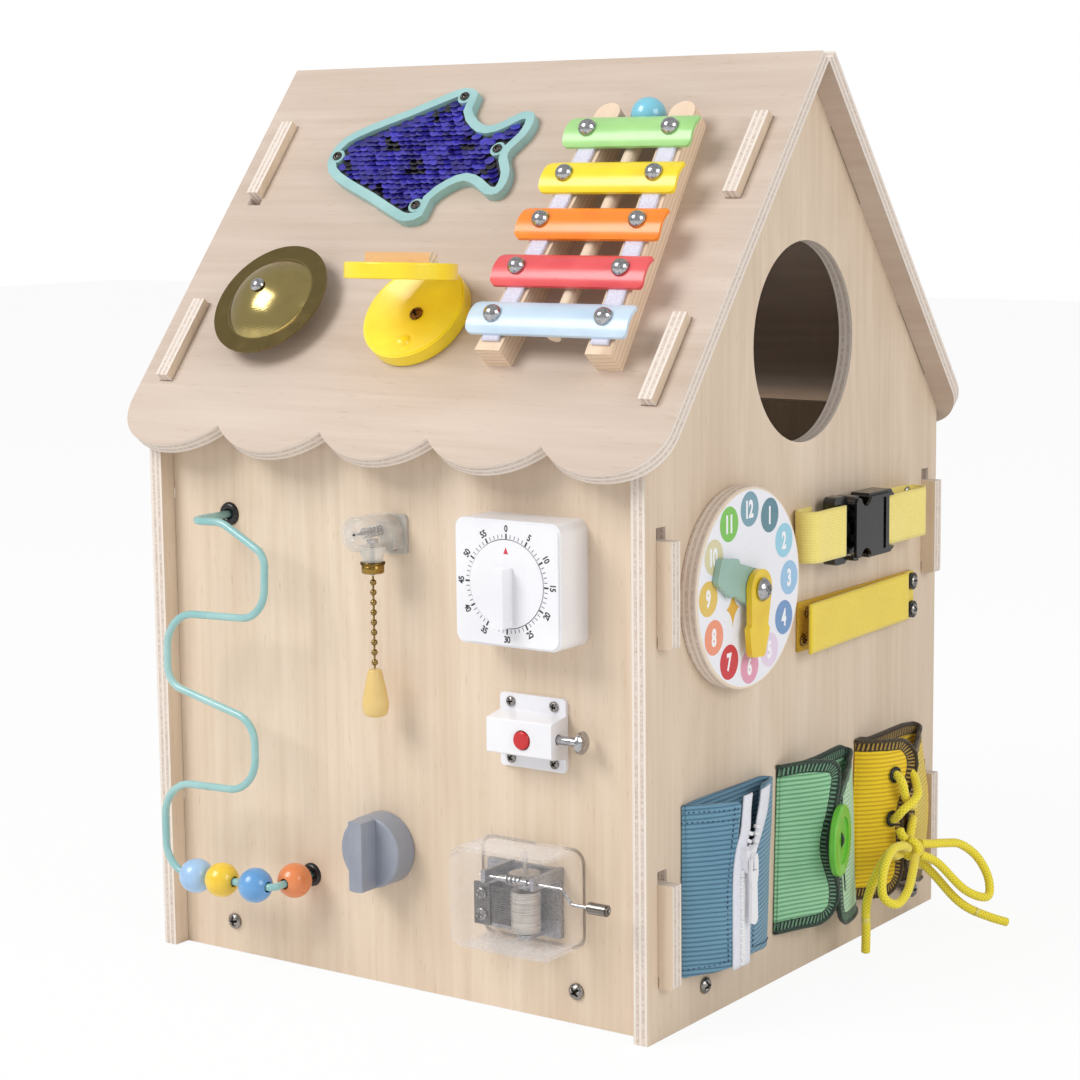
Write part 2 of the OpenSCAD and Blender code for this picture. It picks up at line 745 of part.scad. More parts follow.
pull_top = chain_low - 3 - part_gap;
module pull_drop() {
    color("khaki") translate([switch_x, -ply_t / 2 - chain_off, pull_top - pull_len])
        rotate_extrude($fn = 96) polygon(concat([[0, 0]],
            spline([[3.2, 0], [pull_d / 2 - 0.9, 1.4], [pull_d / 2, pull_len * 0.26],
                [pull_d / 2 - 0.8, pull_len * 0.5], [4, pull_len * 0.86],
                [3.3, pull_len - 0.6], [2.6, pull_len]], 6), [[0, pull_len]]));
}

// ---- timer ----
dial_sink = 2.4;
module timer_case() {
    color("whitesmoke") on_front(timer_x, timer_z) difference() {
        union() {
            linear_extrude(timer_t - 1) round_square(timer_w, timer_w, 5);
            linear_extrude(timer_t) round_square(timer_w - 2, timer_w - 2, 4.5);
        }
        translate([0, 0, timer_t - dial_sink])
            cylinder(h = dial_sink + 1, d = dial_d + 2 * part_gap, $fn = 128);
        translate([0, 0, timer_t - dial_sink - 8]) cylinder(h = 9,
            d = dial_pin_d + 2 * screw_play, $fn = 48);
    }
}

module timer_dial() {
    grip = dial_d / 2 - 0.6;
    color("whitesmoke") on_front(timer_x, timer_z, timer_t - dial_sink + part_gap) difference() {
        union() {
            cylinder(h = dial_sink, d = dial_d, $fn = 128);
            translate([0, 0, dial_sink - eps]) linear_extrude(ridge_up) intersection() {
                circle(grip, $fn = 128);
                translate([-3.5, -grip]) square([7, grip + 8]);
            }
        }
        translate([0, 0, -1]) cylinder(h = 7 + 1, d = dial_pin_d + 2 * run_play, $fn = 48);
    }
}

// ---- push latch ----
bolt_off = 9;
latch_x1 = latch_x + latch_w / 2 + 0.6;
button_top = latch_t + 1.3;
module latch_case() {
    color("white") difference() {
        union() {
            on_front(latch_x, latch_z) linear_extrude(2) round_square(latch_w, latch_h, 2);
            on_front(latch_x1 - 36.8, latch_z - 0.4) rotate([0, 90, 0]) rotate(90)
                linear_extrude(36.8) polygon([[-10.5, 1], [-10.5, 2], [-8.4, latch_t - 0.6],
                    [-7.8, latch_t], [7.8, latch_t], [8.4, latch_t - 0.6], [10.5, 2], [10.5, 1]]);
        }
        on_front(latch_x1 + 1, latch_z, bolt_off) rotate([0, -90, 0])
            cylinder(h = 36.8 - 1.5, d = bolt_d + 0.7, $fn = 64);
        on_front(latch_x + 2.7, latch_z - 1.1, bolt_off)
            cylinder(h = latch_t, d = latch_button_d + 2 * part_gap, $fn = 64);
        small_fixings(small_d, screw_play);
    }
}

module latch_button() {
    low = bolt_off + bolt_d / 2 + latch_press + part_gap;
    color("red") on_front(latch_x + 2.7, latch_z - 1.1, low) rotate_extrude($fn = 96) {
        square([latch_button_d / 2, button_top - low - 1]);
        square([latch_button_d / 2 - 0.7, button_top - low]);
        translate([latch_button_d / 2 - 0.9, button_top - low - 0.9]) circle(0.9, $fn = 32);
    }
}

module latch_bolt() {
    inside = 36.8 - 2.5 - bolt_throw - part_gap;
    color("silver") on_front(latch_x1, latch_z, bolt_off) rotate([0, 90, 0]) {
        translate([0, 0, -inside]) cylinder(h = inside + bolt_out + 1, d = bolt_d, $fn = 64);
        translate([0, 0, bolt_out]) rotate_extrude($fn = 96) intersection() {
            square([5.5, 3.4]);
            translate([0, 3.4 - 7]) circle(7, $fn = 128);
        }
    }
}

// ---- turn knob ----
module turn_knob() {
    color("slategray") on_front(knob_x, knob_z, part_gap) difference() {
        union() {
            rotate_extrude($fn = 160) {
                square([knob_d / 2, knob_t - 1.5]);
                square([knob_d / 2 - 1.5, knob_t]);
                translate([knob_d / 2 - 1.5, knob_t - 1.5]) circle(1.5, $fn = 48);
            }
            translate([0, 0, knob_t - eps]) linear_extrude(knob_bar_up) intersection() {
                circle(knob_d / 2 - 0.3, $fn = 160);
                square([knob_bar_w, knob_d], center = true);
            }
        }
        translate([0, 0, -1]) cylinder(h = 9 + 1 + part_gap, d = knob_pin_d + 2 * run_play, $fn = 64);
    }
}

// ---- music box ----
cyl_x = music_x + 4.6;
cyl_off = 12.6;
cyl_z = music_z - 5.6;
cyl_len = notes * note_pitch + 1.6;
wheel_r = wheel_teeth * worm_pitch / PI / 2;
worm_r = 2.5;
worm_off = cyl_off + wheel_r + worm_r;
wheel_z = cyl_z + cyl_len / 2 + 7;
comb_edge = cyl_x - drum_music_d / 2 - pin_up - 0.35;

module music_case() {
    color("white", 0.35) difference() {
        on_front(music_x, music_z) {
            linear_extrude(music_t - 1.5) round_square(music_w, music_h, 7);
            linear_extrude(music_t) round_square(music_w - 3, music_h - 3, 6);
        }
        on_front(music_x, music_z, -1) linear_extrude(music_t + 1 - music_wall)
            round_square(music_w - 2 * music_wall, music_h - 2 * music_wall, 6);
        on_front(music_x, wheel_z, worm_off) rotate([0, 90, 0])
            cylinder(h = music_w, d = crank_d + 2 * part_gap, $fn = 48);
    }
}

// Cast bed: base, two cylinder bearings, and two posts that carry the crank shaft
module music_bedplate() {
    color("gray") difference() {
        on_front(0, 0) {
            translate([cyl_x - 29, cyl_z - cyl_len / 2 - 4.6, 0]) cube([42, cyl_len + 14, 3]);
            for (z = [-cyl_len / 2 - 3.6, cyl_len / 2 + 1.4]) translate([cyl_x, cyl_z + z, 0]) {
                translate([-4, 0, 0]) cube([8, 2.2, cyl_off]);
                translate([0, 0, cyl_off]) rotate([-90, 0, 0]) cylinder(h = 2.2, r = 4, $fn = 48);
            }
            translate([cyl_x - 28, cyl_z - 9.5, 0]) cube([7, 19, cyl_off]);
            for (x = [-17, 11]) translate([cyl_x + x, wheel_z - 3, 0])
                cube([2.2, 6, worm_off + 2.4]);
        }
        on_front(cyl_x, cyl_z, cyl_off) rotate([90, 0, 0])
            cylinder(h = cyl_len * 2, d = 2.4 + 2 * run_play, center = true, $fn = 48);
        on_front(cyl_x, wheel_z, worm_off) rotate([0, 90, 0])
            cylinder(h = 60, d = crank_d + 2 * run_play, center = true, $fn = 48);
    }
}

// Steel comb: one plate, slit into teeth that grow from treble to bass
module music_comb() {
    low = cyl_z - notes * note_pitch / 2;
    color("dimgray") on_front(0, 0, cyl_off) difference() {
        union() {
            translate([cyl_x - 29, low - 1.2, 0])
                cube([29 - (cyl_x - comb_edge) - 12, notes * note_pitch + 2.4, 1.6]);
            translate([comb_edge - 17, low, 0]) cube([17, notes * note_pitch, 0.7]);
        }
        for (i = [1:notes - 1]) translate([comb_edge - 8 - 8 * i / notes, low + i * note_pitch, -1])
            translate([0, -0.14, 0]) cube([30, 0.28, 3]);
    }
    color("silver") for (z = [-5, 5]) on_front(cyl_x - 24.6, cyl_z + z, cyl_off + 1.6)
        cylinder(h = 1.8, d = 5, $fn = 48);
}

// Pinned cylinder on its arbor, with the wheel that the worm turns
module music_cylinder() {
    turn = 360 / pins_per_note;
    color("silver") on_front(cyl_x, cyl_z, cyl_off) rotate([90, 0, 0]) rotate([0, 0, 180]) {
        cylinder(h = cyl_len, d = drum_music_d, center = true, $fn = 128);
        translate([0, 0, -1]) cylinder(h = cyl_len + 9.4, d = 2.4, center = true, $fn = 48);
        for (i = [0:notes - 1], k = [0:pins_per_note - 1])
            translate([0, 0, (i - (notes - 1) / 2) * note_pitch])
                rotate(turn * k + 137.5 * i) translate([0, 0, -0.2])
                    cube([drum_music_d / 2 + pin_up, 0.4, 0.4]);
    }
    color("goldenrod") on_front(cyl_x, wheel_z, cyl_off) rotate([90, 0, 0])
        translate([0, 0, -1.5]) {
            difference() {
                cylinder(h = 3, r = wheel_r + 0.65, $fn = 96);
                for (i = [0:wheel_teeth - 1]) rotate((i + 0.5) * 360 / wheel_teeth)
                    translate([wheel_r + 0.85, 0, -1]) cylinder(h = 5, r = 1.1, $fn = 24);
            }
            translate([0, 0, -cyl_len / 2 + 0.2]) cylinder(h = 10, d = 2.4, $fn = 48);
        }
}

// Steel shaft and crank in one wire, with the worm on it
module music_crank() {
    x0 = cyl_x - 19;
    x1 = music_x + music_w / 2 + 2.4;
    c = [[x0, wheel_z, worm_off], [x1, wheel_z, worm_off],
        [x1 + 5, wheel_z - crank_throw, worm_off], [x1 + 26, wheel_z - crank_throw, worm_off]];
    color("silver") {
        on_front(0, 0) bent_rod(c, [0, 2, 2, 0], crank_d, 16);
        on_front(cyl_x - 8, wheel_z, worm_off) rotate([0, 90, 0])
            cylinder(h = 16, r = worm_r - 1, $fn = 48);
        on_front(cyl_x, wheel_z, worm_off) rotate([0, 90, 0]) worm_thread(3.4);
    }
}

// Skin of a tube given as n rings of points, each wound the same way about the tube's direction
module tube_skin(points, n, sides) {
    polyhedron(points, concat(
        [[for (k = [0:sides - 1]) k]],
        [for (i = [0:n - 2], k = [0:sides - 1]) let (a = i * sides + k, b = i * sides + (k + 1) % sides)
            each [[a, a + sides, b + sides], [a, b + sides, b]]],
        [[for (k = [sides - 1:-1:0]) (n - 1) * sides + k]]));
}

// Round tube along the points p, as one closed solid
module skin_along(p, d, sides) {
    n = len(p);
    function side_of(i, s) = unit(s - tangent(p, i) * (s * tangent(p, i)));
    frames = [for (i = 0, s = side_of(0, square_to(tangent(p, 0))); i < n;
        i = i + 1, s = i < n ? side_of(i, s) : s) s];
    tube_skin([for (i = [0:n - 1], k = [0:sides - 1])
        p[i] + d / 2 * (frames[i] * cos(k * 360 / sides)
            + cross(tangent(p, i), frames[i]) * sin(k * 360 / sides))], n, sides);
}

// Screw thread of the given number of turns, centred on the origin, axis along Z
module worm_thread(turns) {
    n = ceil(turns * 16);
    prof = [[worm_r - 1.3, -0.5], [worm_r - 1.3, 0.5], [worm_r + 0.05, 0.2], [worm_r + 0.05, -0.2]];
    pts = [for (i = [0:n], q = prof) let (a = i * 360 / 16, z = (i / 16 - turns / 2) * worm_pitch)
        [q[0] * cos(a), q[0] * sin(a), z + q[1]]];
    tube_skin(pts, n + 1, 4);
}

grip_x = music_x + music_w / 2 + 16.6;
module crank_grip() {
    color("silver") on_front(grip_x, wheel_z - crank_throw, worm_off) rotate([0, 90, 0])
        rotate_extrude($fn = 64) difference() {
            union() {
                translate([0, 0.6]) square([2.8, 9.8]);
                square([2.2, 11]);
            }
            translate([0, -1]) square([crank_d / 2 + run_play, 13]);
        }
}

// ---- clock ----
hub_r = 9.5;
module clock_disc() {
    color("whitesmoke") difference() {
        on_wall(clock_y, clock_z) rotate_extrude($fn = 192) {
            square([clock_r - 0.8, clock_t]);
            translate([0, 0.8]) square([clock_r, clock_t - 1.6]);
            for (z = [0.8, clock_t - 0.8]) translate([clock_r - 0.8, z]) circle(0.8, $fn = 24);
        }
        pin_holes();
    }
}

// Arrow-ended hand: round hub, waisted arm, shouldered blunt tip
module hand_outline(len) {
    neck = len * 0.52;
    circle(hub_r, $fn = 96);
    polygon([[-hub_r + 0.1, 0], [hub_r - 0.1, 0], [7.6, neck], [9.4, neck + 2.2], [8.6, neck + 5],
        [6.4, len - 1.5], [5, len], [-5, len], [-6.4, len - 1.5], [-8.6, neck + 5],
        [-9.4, neck + 2.2], [-7.6, neck]]);
}

module hand(level, len, angle) {
    on_wall(clock_y, clock_z, clock_t + part_gap + level * (hand_t + part_gap)) difference() {
        rotate(-angle) linear_extrude(hand_t) hand_outline(len);
        translate([0, 0, -1]) cylinder(h = hand_t + 2, d = clock_pin_d + 2 * run_play, $fn = 64);
    }
}
module hour_hand() { color("gold") hand(1, hour_len, 185.5); }
module minute_hand() { color("cadetblue") hand(0, minute_len, 291); }

// ---- webbing and side-release buckle ----
fold_r = (web_off + web_t) / 2;
plug_y = 12;
plug_h = 34;
socket_y = 24.4;

// Extrudes a profile drawn as distance along the wall and stand-off, downward from z_top
module wall_profile(z_top, w) {
    on_wall(0, z_top) rotate([90, 0, 0]) linear_extrude(w) children();
}

// Loop of webbing folded round at y_fold; side is 1 when the fold is at the front
module strap_loop(y_fold, side, y_front, y_back) {
    wall_profile(web_z + web_w / 2, web_w) {
        intersection() {
            translate([y_fold + side * fold_r, fold_r]) difference() {
                circle(fold_r, $fn = 96);
                circle(fold_r - web_t, $fn = 96);
            }
            translate([side > 0 ? y_fold - 1 : y_fold - fold_r, -1]) square([fold_r + 1, 40]);
        }
        c = y_fold + side * fold_r;
        translate([min(c, y_front), 2 * fold_r - web_t]) square([abs(y_front - c), web_t]);
        translate([min(c, y_back), 0]) square([abs(y_back - c), web_t]);
    }
}

module buckle_straps() {
    color("khaki") difference() {
        union() {
            strap_loop(-14, 1, 19, 6);
            strap_loop(118, -1, socket_y + socket_len - 6.4, 84);
        }
        small_fixings(small_d, screw_play);
    }
}

module buckle_socket() {
    y1 = socket_y + socket_len;
    color("black") difference() {
        on_wall(socket_y + socket_len / 2, web_z, 4) {
            linear_extrude(socket_t - 1.6) round_square(socket_len, socket_h, 3);
            linear_extrude(socket_t) round_square(socket_len - 2, socket_h - 3, 3);
        }
        on_wall(socket_y - 1, web_z - socket_h / 2 + 1.8, 5.6)
            cube([33, socket_h - 3.6, socket_t - 3.2]);
        for (m = [-1, 1]) on_wall(socket_y + 11.5, web_z + m * socket_h / 2, 0)
            cylinder(h = 30, r = 5.6, $fn = 64);
        on_wall(y1 - 6.6, web_z - web_w / 2 - 0.3, web_off - 0.05) cube([10, web_w + 0.6, 10]);
        on_wall(y1 - 13, web_z - web_w / 2 - 0.3, -1) cube([3, web_w + 0.6, 30]);
    }
}

// Plug: webbing bar with a slot, shoulder plate, guide tongue and two spring arms
module buckle_plug() {
    arm = socket_h / 2 - 1.8 - part_gap - 0.1;
    low = 6.1;
    deep = web_off - 2 * part_gap - low;
    color("black") {
        difference() {
            on_wall(plug_y + 5, web_z, 5) linear_extrude(6.6) round_square(13, plug_h, 3);
            on_wall(plug_y + 1.6, web_z - web_w / 2 - 0.4, 0) cube([3.4, web_w + 0.8, 20]);
        }
        on_wall(0, 0, low) linear_extrude(deep) {
            translate([plug_y + 11, web_z - 3]) square([21, 6]);
            for (m = [-1, 1]) translate([0, web_z]) scale([1, m]) polygon([
                [plug_y + 11, arm - 4.4], [plug_y + 11, arm - 1.2], [plug_y + 17, arm - 1.6],
                [plug_y + 20, arm], [plug_y + 27, arm], [plug_y + 31, arm - 3],
                [plug_y + 31, arm - 4.6], [plug_y + 25, arm - 3.8], [plug_y + 17, arm - 4.8]]);
        }
    }
}

// ---- touch-and-close strip ----
flap_axis_off = 2 * strip_t + 0.4;
module hook_strip() {
    color("gold") difference() {
        on_wall(0, strip_z) {
            translate([-10, -strip_w / 2, 0]) cube([flap_hinge_y + 20, strip_w, strip_t]);
            translate([flap_hinge_y + 0.8, -strip_w / 2, strip_t - eps])
                cube([9.2, strip_w, strip_t + eps]);
        }
        small_fixings(small_d, screw_play);
    }
}

module loop_flap() {
    n = 12;
    // Height of the flap's underside at the share u of its length from the hinge
    function rise(u) = flap_axis_off + flap_lift * pow(u, 1.4);
    color("yellow") wall_profile(strip_z + strip_w / 2, strip_w) polygon(concat(
        [for (i = [0:n]) [flap_hinge_y - flap_len * i / n, rise(i / n)]],
        [for (i = [n:-1:0]) [flap_hinge_y - flap_len * i / n, rise(i / n) + strip_t]]));
}

// ---- cloth fastenings: two wings fixed to the wall that meet at a standing edge ----
function wing_cos(y0, yp, y) = 1 - (y - y0) / (yp - y0);
function wing_off(y0, yp, h, y) = h * sqrt(1 - pow(wing_cos(y0, yp, y), 2));
module cloth_tent(y0, yp, y1, h, t) {
    n = 14;
    outer = concat(
        [for (i = [0:n]) let (a = 90 * i / n) [y0 + (yp - y0) * (1 - cos(a)), h * sin(a)]],
        [for (i = [1:8]) let (u = i / 8) [yp + (y1 - yp) * u, h * (1 - pow(u, 1.3))]]);
    inner = concat(
        [for (i = [0:n]) let (a = 90 * i / n)
            [y0 + t + (yp - y0 - t) * (1 - cos(a)), (h - t) * sin(a)]],
        [for (i = [1:8]) let (u = i / 8)
            [yp + (y1 - yp - t * 1.3) * u, (h - t) * (1 - pow(u, 1.3))]]);
    wall_profile(felt_z + felt_h, felt_h)
        polygon(concat(outer, [for (i = [len(inner) - 1:-1:0]) inner[i]]));
}

// Front edge, fastening line and rear edge of each cloth, as distance along the wall
zip_y0 = -114;
zip_y = -88;
zip_y1 = -44;
felt_y0 = -29;
felt_y = -3;
felt_y1 = 44;
lace_y0 = 52;
lace_y = 79;
lace_y1 = 122;
module zip_cloth() {
    color("steelblue") cloth_tent(zip_y0, zip_y, zip_y1, felt_off + 1, felt_t);
}
module button_cloth() {
    color("mediumseagreen") {
        cloth_tent(felt_y0, felt_y, felt_y1, felt_off - 1, felt_t);
        on_wall(button_y, button_z, button_off) rotate([0, button_turn, 0]) {
            translate([0, 0, -6.8]) cylinder(h = 8, d = 2.4, $fn = 32);
            translate([0, 0, button_t / 2 - 1 + 0.4]) cylinder(h = 0.8, d = 4.4, $fn = 32);
        }
    }
}
module lace_cloth() {
    color("gold") difference() {
        cloth_tent(lace_y0, lace_y, lace_y1, felt_off + 0.5, felt_t);
        for (e = eyelets) lace_wing(e[0], e[1]) translate([0, 0, -5]) cylinder(h = 12, d = 5, $fn = 48);
        for (e = rear_holes) on_wall(e[0], e[1], 3) cylinder(h = 20, d = 5, $fn = 48);
    }
}

// Eyelets in the front wing, as distance along the wall and height
eyelets = [[70.5, 87], [68.5, 64]];
rear_holes = [[84, 88], [87, 66]];
module lace_wing(y, z) {
    h = felt_off + 0.5;
    c = wing_cos(lace_y0, lace_y, y);
    slope = h * c / ((lace_y - lace_y0) * sqrt(1 - c * c));
    on_wall(y, z, wing_off(lace_y0, lace_y, h, y) - felt_t) rotate([0, -atan(slope), 0]) children();
}

slider_z = 78.5;
slider_off = felt_off + 1 + part_gap;
module zip_slider() {
    color("white") on_wall(zip_y + 1.5, slider_z, slider_off) difference() {
        union() {
            linear_extrude(3.6) polygon([[-2.6, -6], [2.6, -6], [4.4, 1], [4, 6], [0.8, 4], [-0.8, 4],
                [-4, 6], [-4.4, 1]]);
            translate([-1.4, -4, 3.5]) cube([2.8, 7, 2.9]);
        }
        translate([-5, 0.2, 4.8]) rotate([0, 90, 0]) cylinder(h = 10, d = 1.6, $fn = 32);
    }
}

module zip_pull() {
    color("white") on_wall(zip_y + 1.5, slider_z, slider_off + 4.8) {
        translate([-3, 0.2, 0]) rotate([0, 90, 0]) cylinder(h = 6, d = 1.5, $fn = 32);
        for (m = [-1, 1]) translate([m * 2.6 - 0.8, -5.4, -0.7]) cube([1.6, 5.6, 1.4]);
        translate([0, 0, -0.7]) linear_extrude(1.4) {
            translate([-3.4, -8]) square([6.8, 3]);
            polygon([[-3.4, -7], [3.4, -7], [2.4, -12], [3, -pull_tab_len], [-3, -pull_tab_len],
                [-2.4, -12]]);
            translate([0, -pull_tab_len]) circle(3, $fn = 48);
        }
    }
}

button_y = 2.5;
button_z = 67.8;
button_off = felt_off + 4;
module big_button() {
    color("limegreen") on_wall(button_y, button_z, button_off) rotate([0, button_turn, 0])
        difference() {
            translate([0, 0, -button_t / 2]) rotate_extrude($fn = 128) {
                square([button_d / 2 - 1, button_t]);
                translate([0, 1]) square([button_d / 2, button_t - 2]);
                for (z = [1, button_t - 1]) translate([button_d / 2 - 1, z]) circle(1, $fn = 32);
            }
            translate([0, 0, button_t / 2 - 1]) cylinder(h = 3, r = button_d / 2 - 6, $fn = 96);
            for (z = [-3, 3]) translate([0, z, -5]) cylinder(h = 10, d = 3, $fn = 32);
            translate([-1.5, -3, -5]) cube([3, 6, 10]);
        }
}

// Lace points: distance along the wall, height, stand-off
knot = [71, 49, 24.5];
lace_end_left = [[65.8, 46.7, 21.3], [58, 47.5, 22.5], [47.5, 51.5, 24], [33.5, 43, 24], [27.5, 30, 22],
    [28, 15, 21.5], [29.5, 3.5, 20.5]];
lace_loop_left = [[64.8, 50.3, 26.1], [56, 54, 27.5], [43, 54.5, 28], [30, 47, 30], [24, 36, 33],
    [30, 31, 37.5], [41, 35, 38], [55, 42.5, 34], [67.4, 45.7, 28.9]];
lace_loop_right = [[76.9, 50.6, 26.8], [84, 49, 29], [93, 48, 33], [102, 46, 38], [110, 38, 44],
    [111, 27, 50], [105, 19, 52], [95, 24, 44], [84, 39.5, 33.5], [74.9, 45.1, 27.9]];
lace_end_right = [[75.9, 46.1, 21.3], [82, 40, 24], [89, 31, 29.5], [95.5, 19, 37.5], [100.5, 12.5, 44],
    [109, 7, 52], [117, 3.2, 58]];
lace_cross_a = [[71.1, 87, 10.5], [70.1, 87, 15.6], [69.75, 86.9, 17.2], [68.6, 83.5, 20.6],
    [72, 75, 21], [79, 70, 20.6], [86, 67.4, 18], [87, 66, 14.5], [87, 66, 9]];
lace_cross_b = [[84, 88, 9], [84, 88, 15], [83.5, 86.9, 18], [81, 82, 22], [74, 76, 26.2],
    [66, 70, 22.5], [67.4, 64.6, 17.4], [68.05, 64, 15], [69.2, 64, 10.5]];
lace_cross_c = [[68.8, 58.5, 19.3], [67.6, 56.5, 20.8], [68.4, 53.9, 22.9]];
lace_cross_d = [[85, 61, 18.6], [79.5, 58.5, 20.6], [74.2, 53.3, 22.3]];

// Tube along a smooth line through the points
module swept(points, steps, d) {
    skin_along(spline(points, steps), d, 8);
}

module lace() {
    color("yellow") on_wall(0, 0) {
        for (p = [lace_end_left, lace_loop_left, lace_loop_right, lace_end_right])
            swept(p, 2, lace_d);
        for (p = [lace_cross_a, lace_cross_b, lace_cross_c, lace_cross_d]) swept(p, 1, lace_d);
        translate(knot) sphere(r = 6.4, $fn = 12);
    }
}

// ---- fish with a cloth belly ----
// Upper half of the fish's outline from nose to tail notch, as X and half height
fish_half = [[-105, 0], [-100.5, 11.5], [-86, 20.5], [-66, 29.5], [-47, 39], [-36, 43],
    [-26.5, 39.5], [-26, 29], [-18.5, 21], [-10.5, 17.5], [-2, 20.5], [6.5, 26], [14, 25.5],
    [16.5, 19], [15, 10.5], [10, 2.5]];
// Both halves as one smooth closed line
function closed_fish() = let (low = [for (i = [len(fish_half) - 1:-1:1])
    [fish_half[i][0], -fish_half[i][1]]]) concat(fish_half, low);
function loop_spline(p, n) = let (m = len(p)) [for (i = [0:m - 1], k = [0:n - 1])
    spline_at(p[(i + m - 1) % m], p[i], p[(i + 1) % m], p[(i + 2) % m], k / n)];
function loop_inset(p, d) = let (m = len(p)) [for (i = [0:m - 1])
    let (t = unit(p[(i + 1) % m] - p[(i + m - 1) % m])) p[i] + d * [t[1], -t[0]]];

// True where q keeps its full distance from every point of the line p
function clear_of(q, p, d) = min([for (v = p) norm(v - q)]) > d * 0.97;

module fish_line(inset) {
    p = loop_spline(closed_fish(), 2);
    polygon(inset > 0 ? [for (q = loop_inset(p, inset)) if (clear_of(q, p, inset)) q] : p);
}

module fish_frame() {
    color("burlywood") difference() {
        on_roof(0, fish_s) {
            linear_extrude(fish_t) difference() {
                fish_line(0);
                fish_line(fish_band);
            }
            for (f = fish_screws) translate([f[0], fish_s - f[1]])
                cylinder(h = fish_t, r = 4.2, $fn = 48);
        }
        small_fixings(small_d, screw_play);
    }
}

module sequin_cloth() {
    color("midnightblue") on_roof(0, fish_s) linear_extrude(fish_t - 2) difference() {
        fish_line(fish_band + 0.3);
        for (f = fish_screws) translate([f[0], fish_s - f[1]]) circle(4.5, $fn = 48);
    }
}

// ---- cymbal ----
module cymbal() {
    r_hole = cymbal_pin_d / 2 + run_play;
    R = (pow(cymbal_dome_r, 2) + pow(cymbal_dome_h, 2)) / (2 * cymbal_dome_h);
    color("dimgray") on_roof(cymbal_x, cymbal_s, cymbal_off) rotate_extrude($fn = 192) {
        difference() {
            intersection() {
                translate([0, cymbal_dome_h - R]) circle(R, $fn = 256);
                translate([r_hole, 0]) square([cymbal_dome_r - r_hole, cymbal_dome_h + 1]);
            }
            translate([0, cymbal_dome_h - R]) circle(R - cymbal_t, $fn = 256);
        }
        translate([cymbal_dome_r - 1.4, 0]) square([cymbal_r - cymbal_dome_r + 1.4, cymbal_t]);
    }
}

// ---- castanet ----
dish_r = (pow(cast_r - 1.6, 2) + pow(cast_dish, 2)) / (2 * cast_dish);
module cast_disc(r) {
    difference() {
        rotate_extrude($fn = 160) {
            square([r - 1, cast_t]);
            translate([0, 1]) square([r, cast_t - 1.4]);
            translate([r - 1, 1]) circle(1, $fn = 32);
        }
        translate([0, 0, cast_t - cast_dish + dish_r]) sphere(dish_r, $fn = 200);
    }
}

module castanet_base() {
    color("gold") difference() {
        on_roof(cast_x, cast_s) {
            cast_disc(cast_r);
            intersection() {
                translate([0.4, -17.8, 3.9]) sphere(r = 5, $fn = 64);
                translate([-cast_r, -cast_r, 0.1]) cube([2 * cast_r, cast_r, 2 * cast_t]);
            }
        }
        small_fixings(small_d, screw_play);
    }
}

clap_x = 3.5;
clap_s = 144.7;
clap_r = cast_r - 0.7;
// Placed by its edge hinge; local X across, Y from the hinge to the free edge, Z away from the base
module clapper_frame() {
    on_roof(clap_x, clap_s, cast_t + 0.3) rotate([-cast_open, 0, 0]) mirror([0, 1, 0])
        translate([0, clap_r, 0]) children();
}
module castanet_clapper() {
    color("gold") clapper_frame() translate([0, 0, cast_t]) mirror([0, 0, 1]) cast_disc(clap_r);
}
module clapper_grip() {
    color("tan") clapper_frame() translate([0, 0, cast_t]) {
        translate([-19.5, -3.4, 0]) cube([39, 6.8, 4]);
        translate([-19.5, -2.8, 0]) cube([39, 5.6, 5]);
    }
}

// ---- xylophone ----
rail_s0 = 47;
rail_s1 = 187.6;
module xylophone_rails() {
    color("burlywood") difference() {
        for (m = [-1, 1]) {
            on_roof(xylo_x, 0) linear_extrude(rail_h) {
                polygon([[m * (rail_x(rail_s0) - rail_w / 2), -rail_s0],
                    [m * (rail_x(rail_s0) + rail_w / 2), -rail_s0],
                    [m * (rail_x(rail_s1) + rail_w / 2), -rail_s1],
                    [m * (rail_x(rail_s1) - rail_w / 2), -rail_s1]]);
                translate([m * rail_x(rail_s0), -rail_s0]) circle(d = rail_w, $fn = 96);
            }
            // Felt pad under the ends of the bars
            on_roof(xylo_x, 0, rail_h - eps) linear_extrude(felt_pad_t + eps) polygon([
                for (e = [[rail_s0 + 4, -4.5], [rail_s0 + 4, 4.5], [rail_s1 - 5, 4.5],
                    [rail_s1 - 5, -4.5]]) [m * (rail_x(e[0]) + e[1]), -e[0]]]);
        }
        pin_holes();
    }
}

// Metal bar number i, counted from the ridge: a sheet arched across its width, on the felt pads
module bar(i) {
    len = bar_min + i * bar_grow;
    R = (pow(bar_w / 2, 2) + pow(bar_rise, 2)) / (2 * bar_rise);
    difference() {
        on_roof(xylo_x, bar_s(i), bar_off) intersection() {
            linear_extrude(bar_rise + bar_t + 1) round_square(len, bar_w, 3);
            translate([0, 0, bar_rise + bar_t - R]) rotate([0, 90, 0]) difference() {
                cylinder(h = len + 2, r = R, center = true, $fn = 200);
                cylinder(h = len + 4, r = R - bar_t, center = true, $fn = 200);
            }
        }
        pin_holes();
    }
}
module bar_green() { color("lightgreen") bar(0); }
module bar_yellow() { color("gold") bar(1); }
module bar_orange() { color("darkorange") bar(2); }
module bar_red() { color("salmon") bar(3); }
module bar_pale_blue() { color("lightblue") bar(4); }

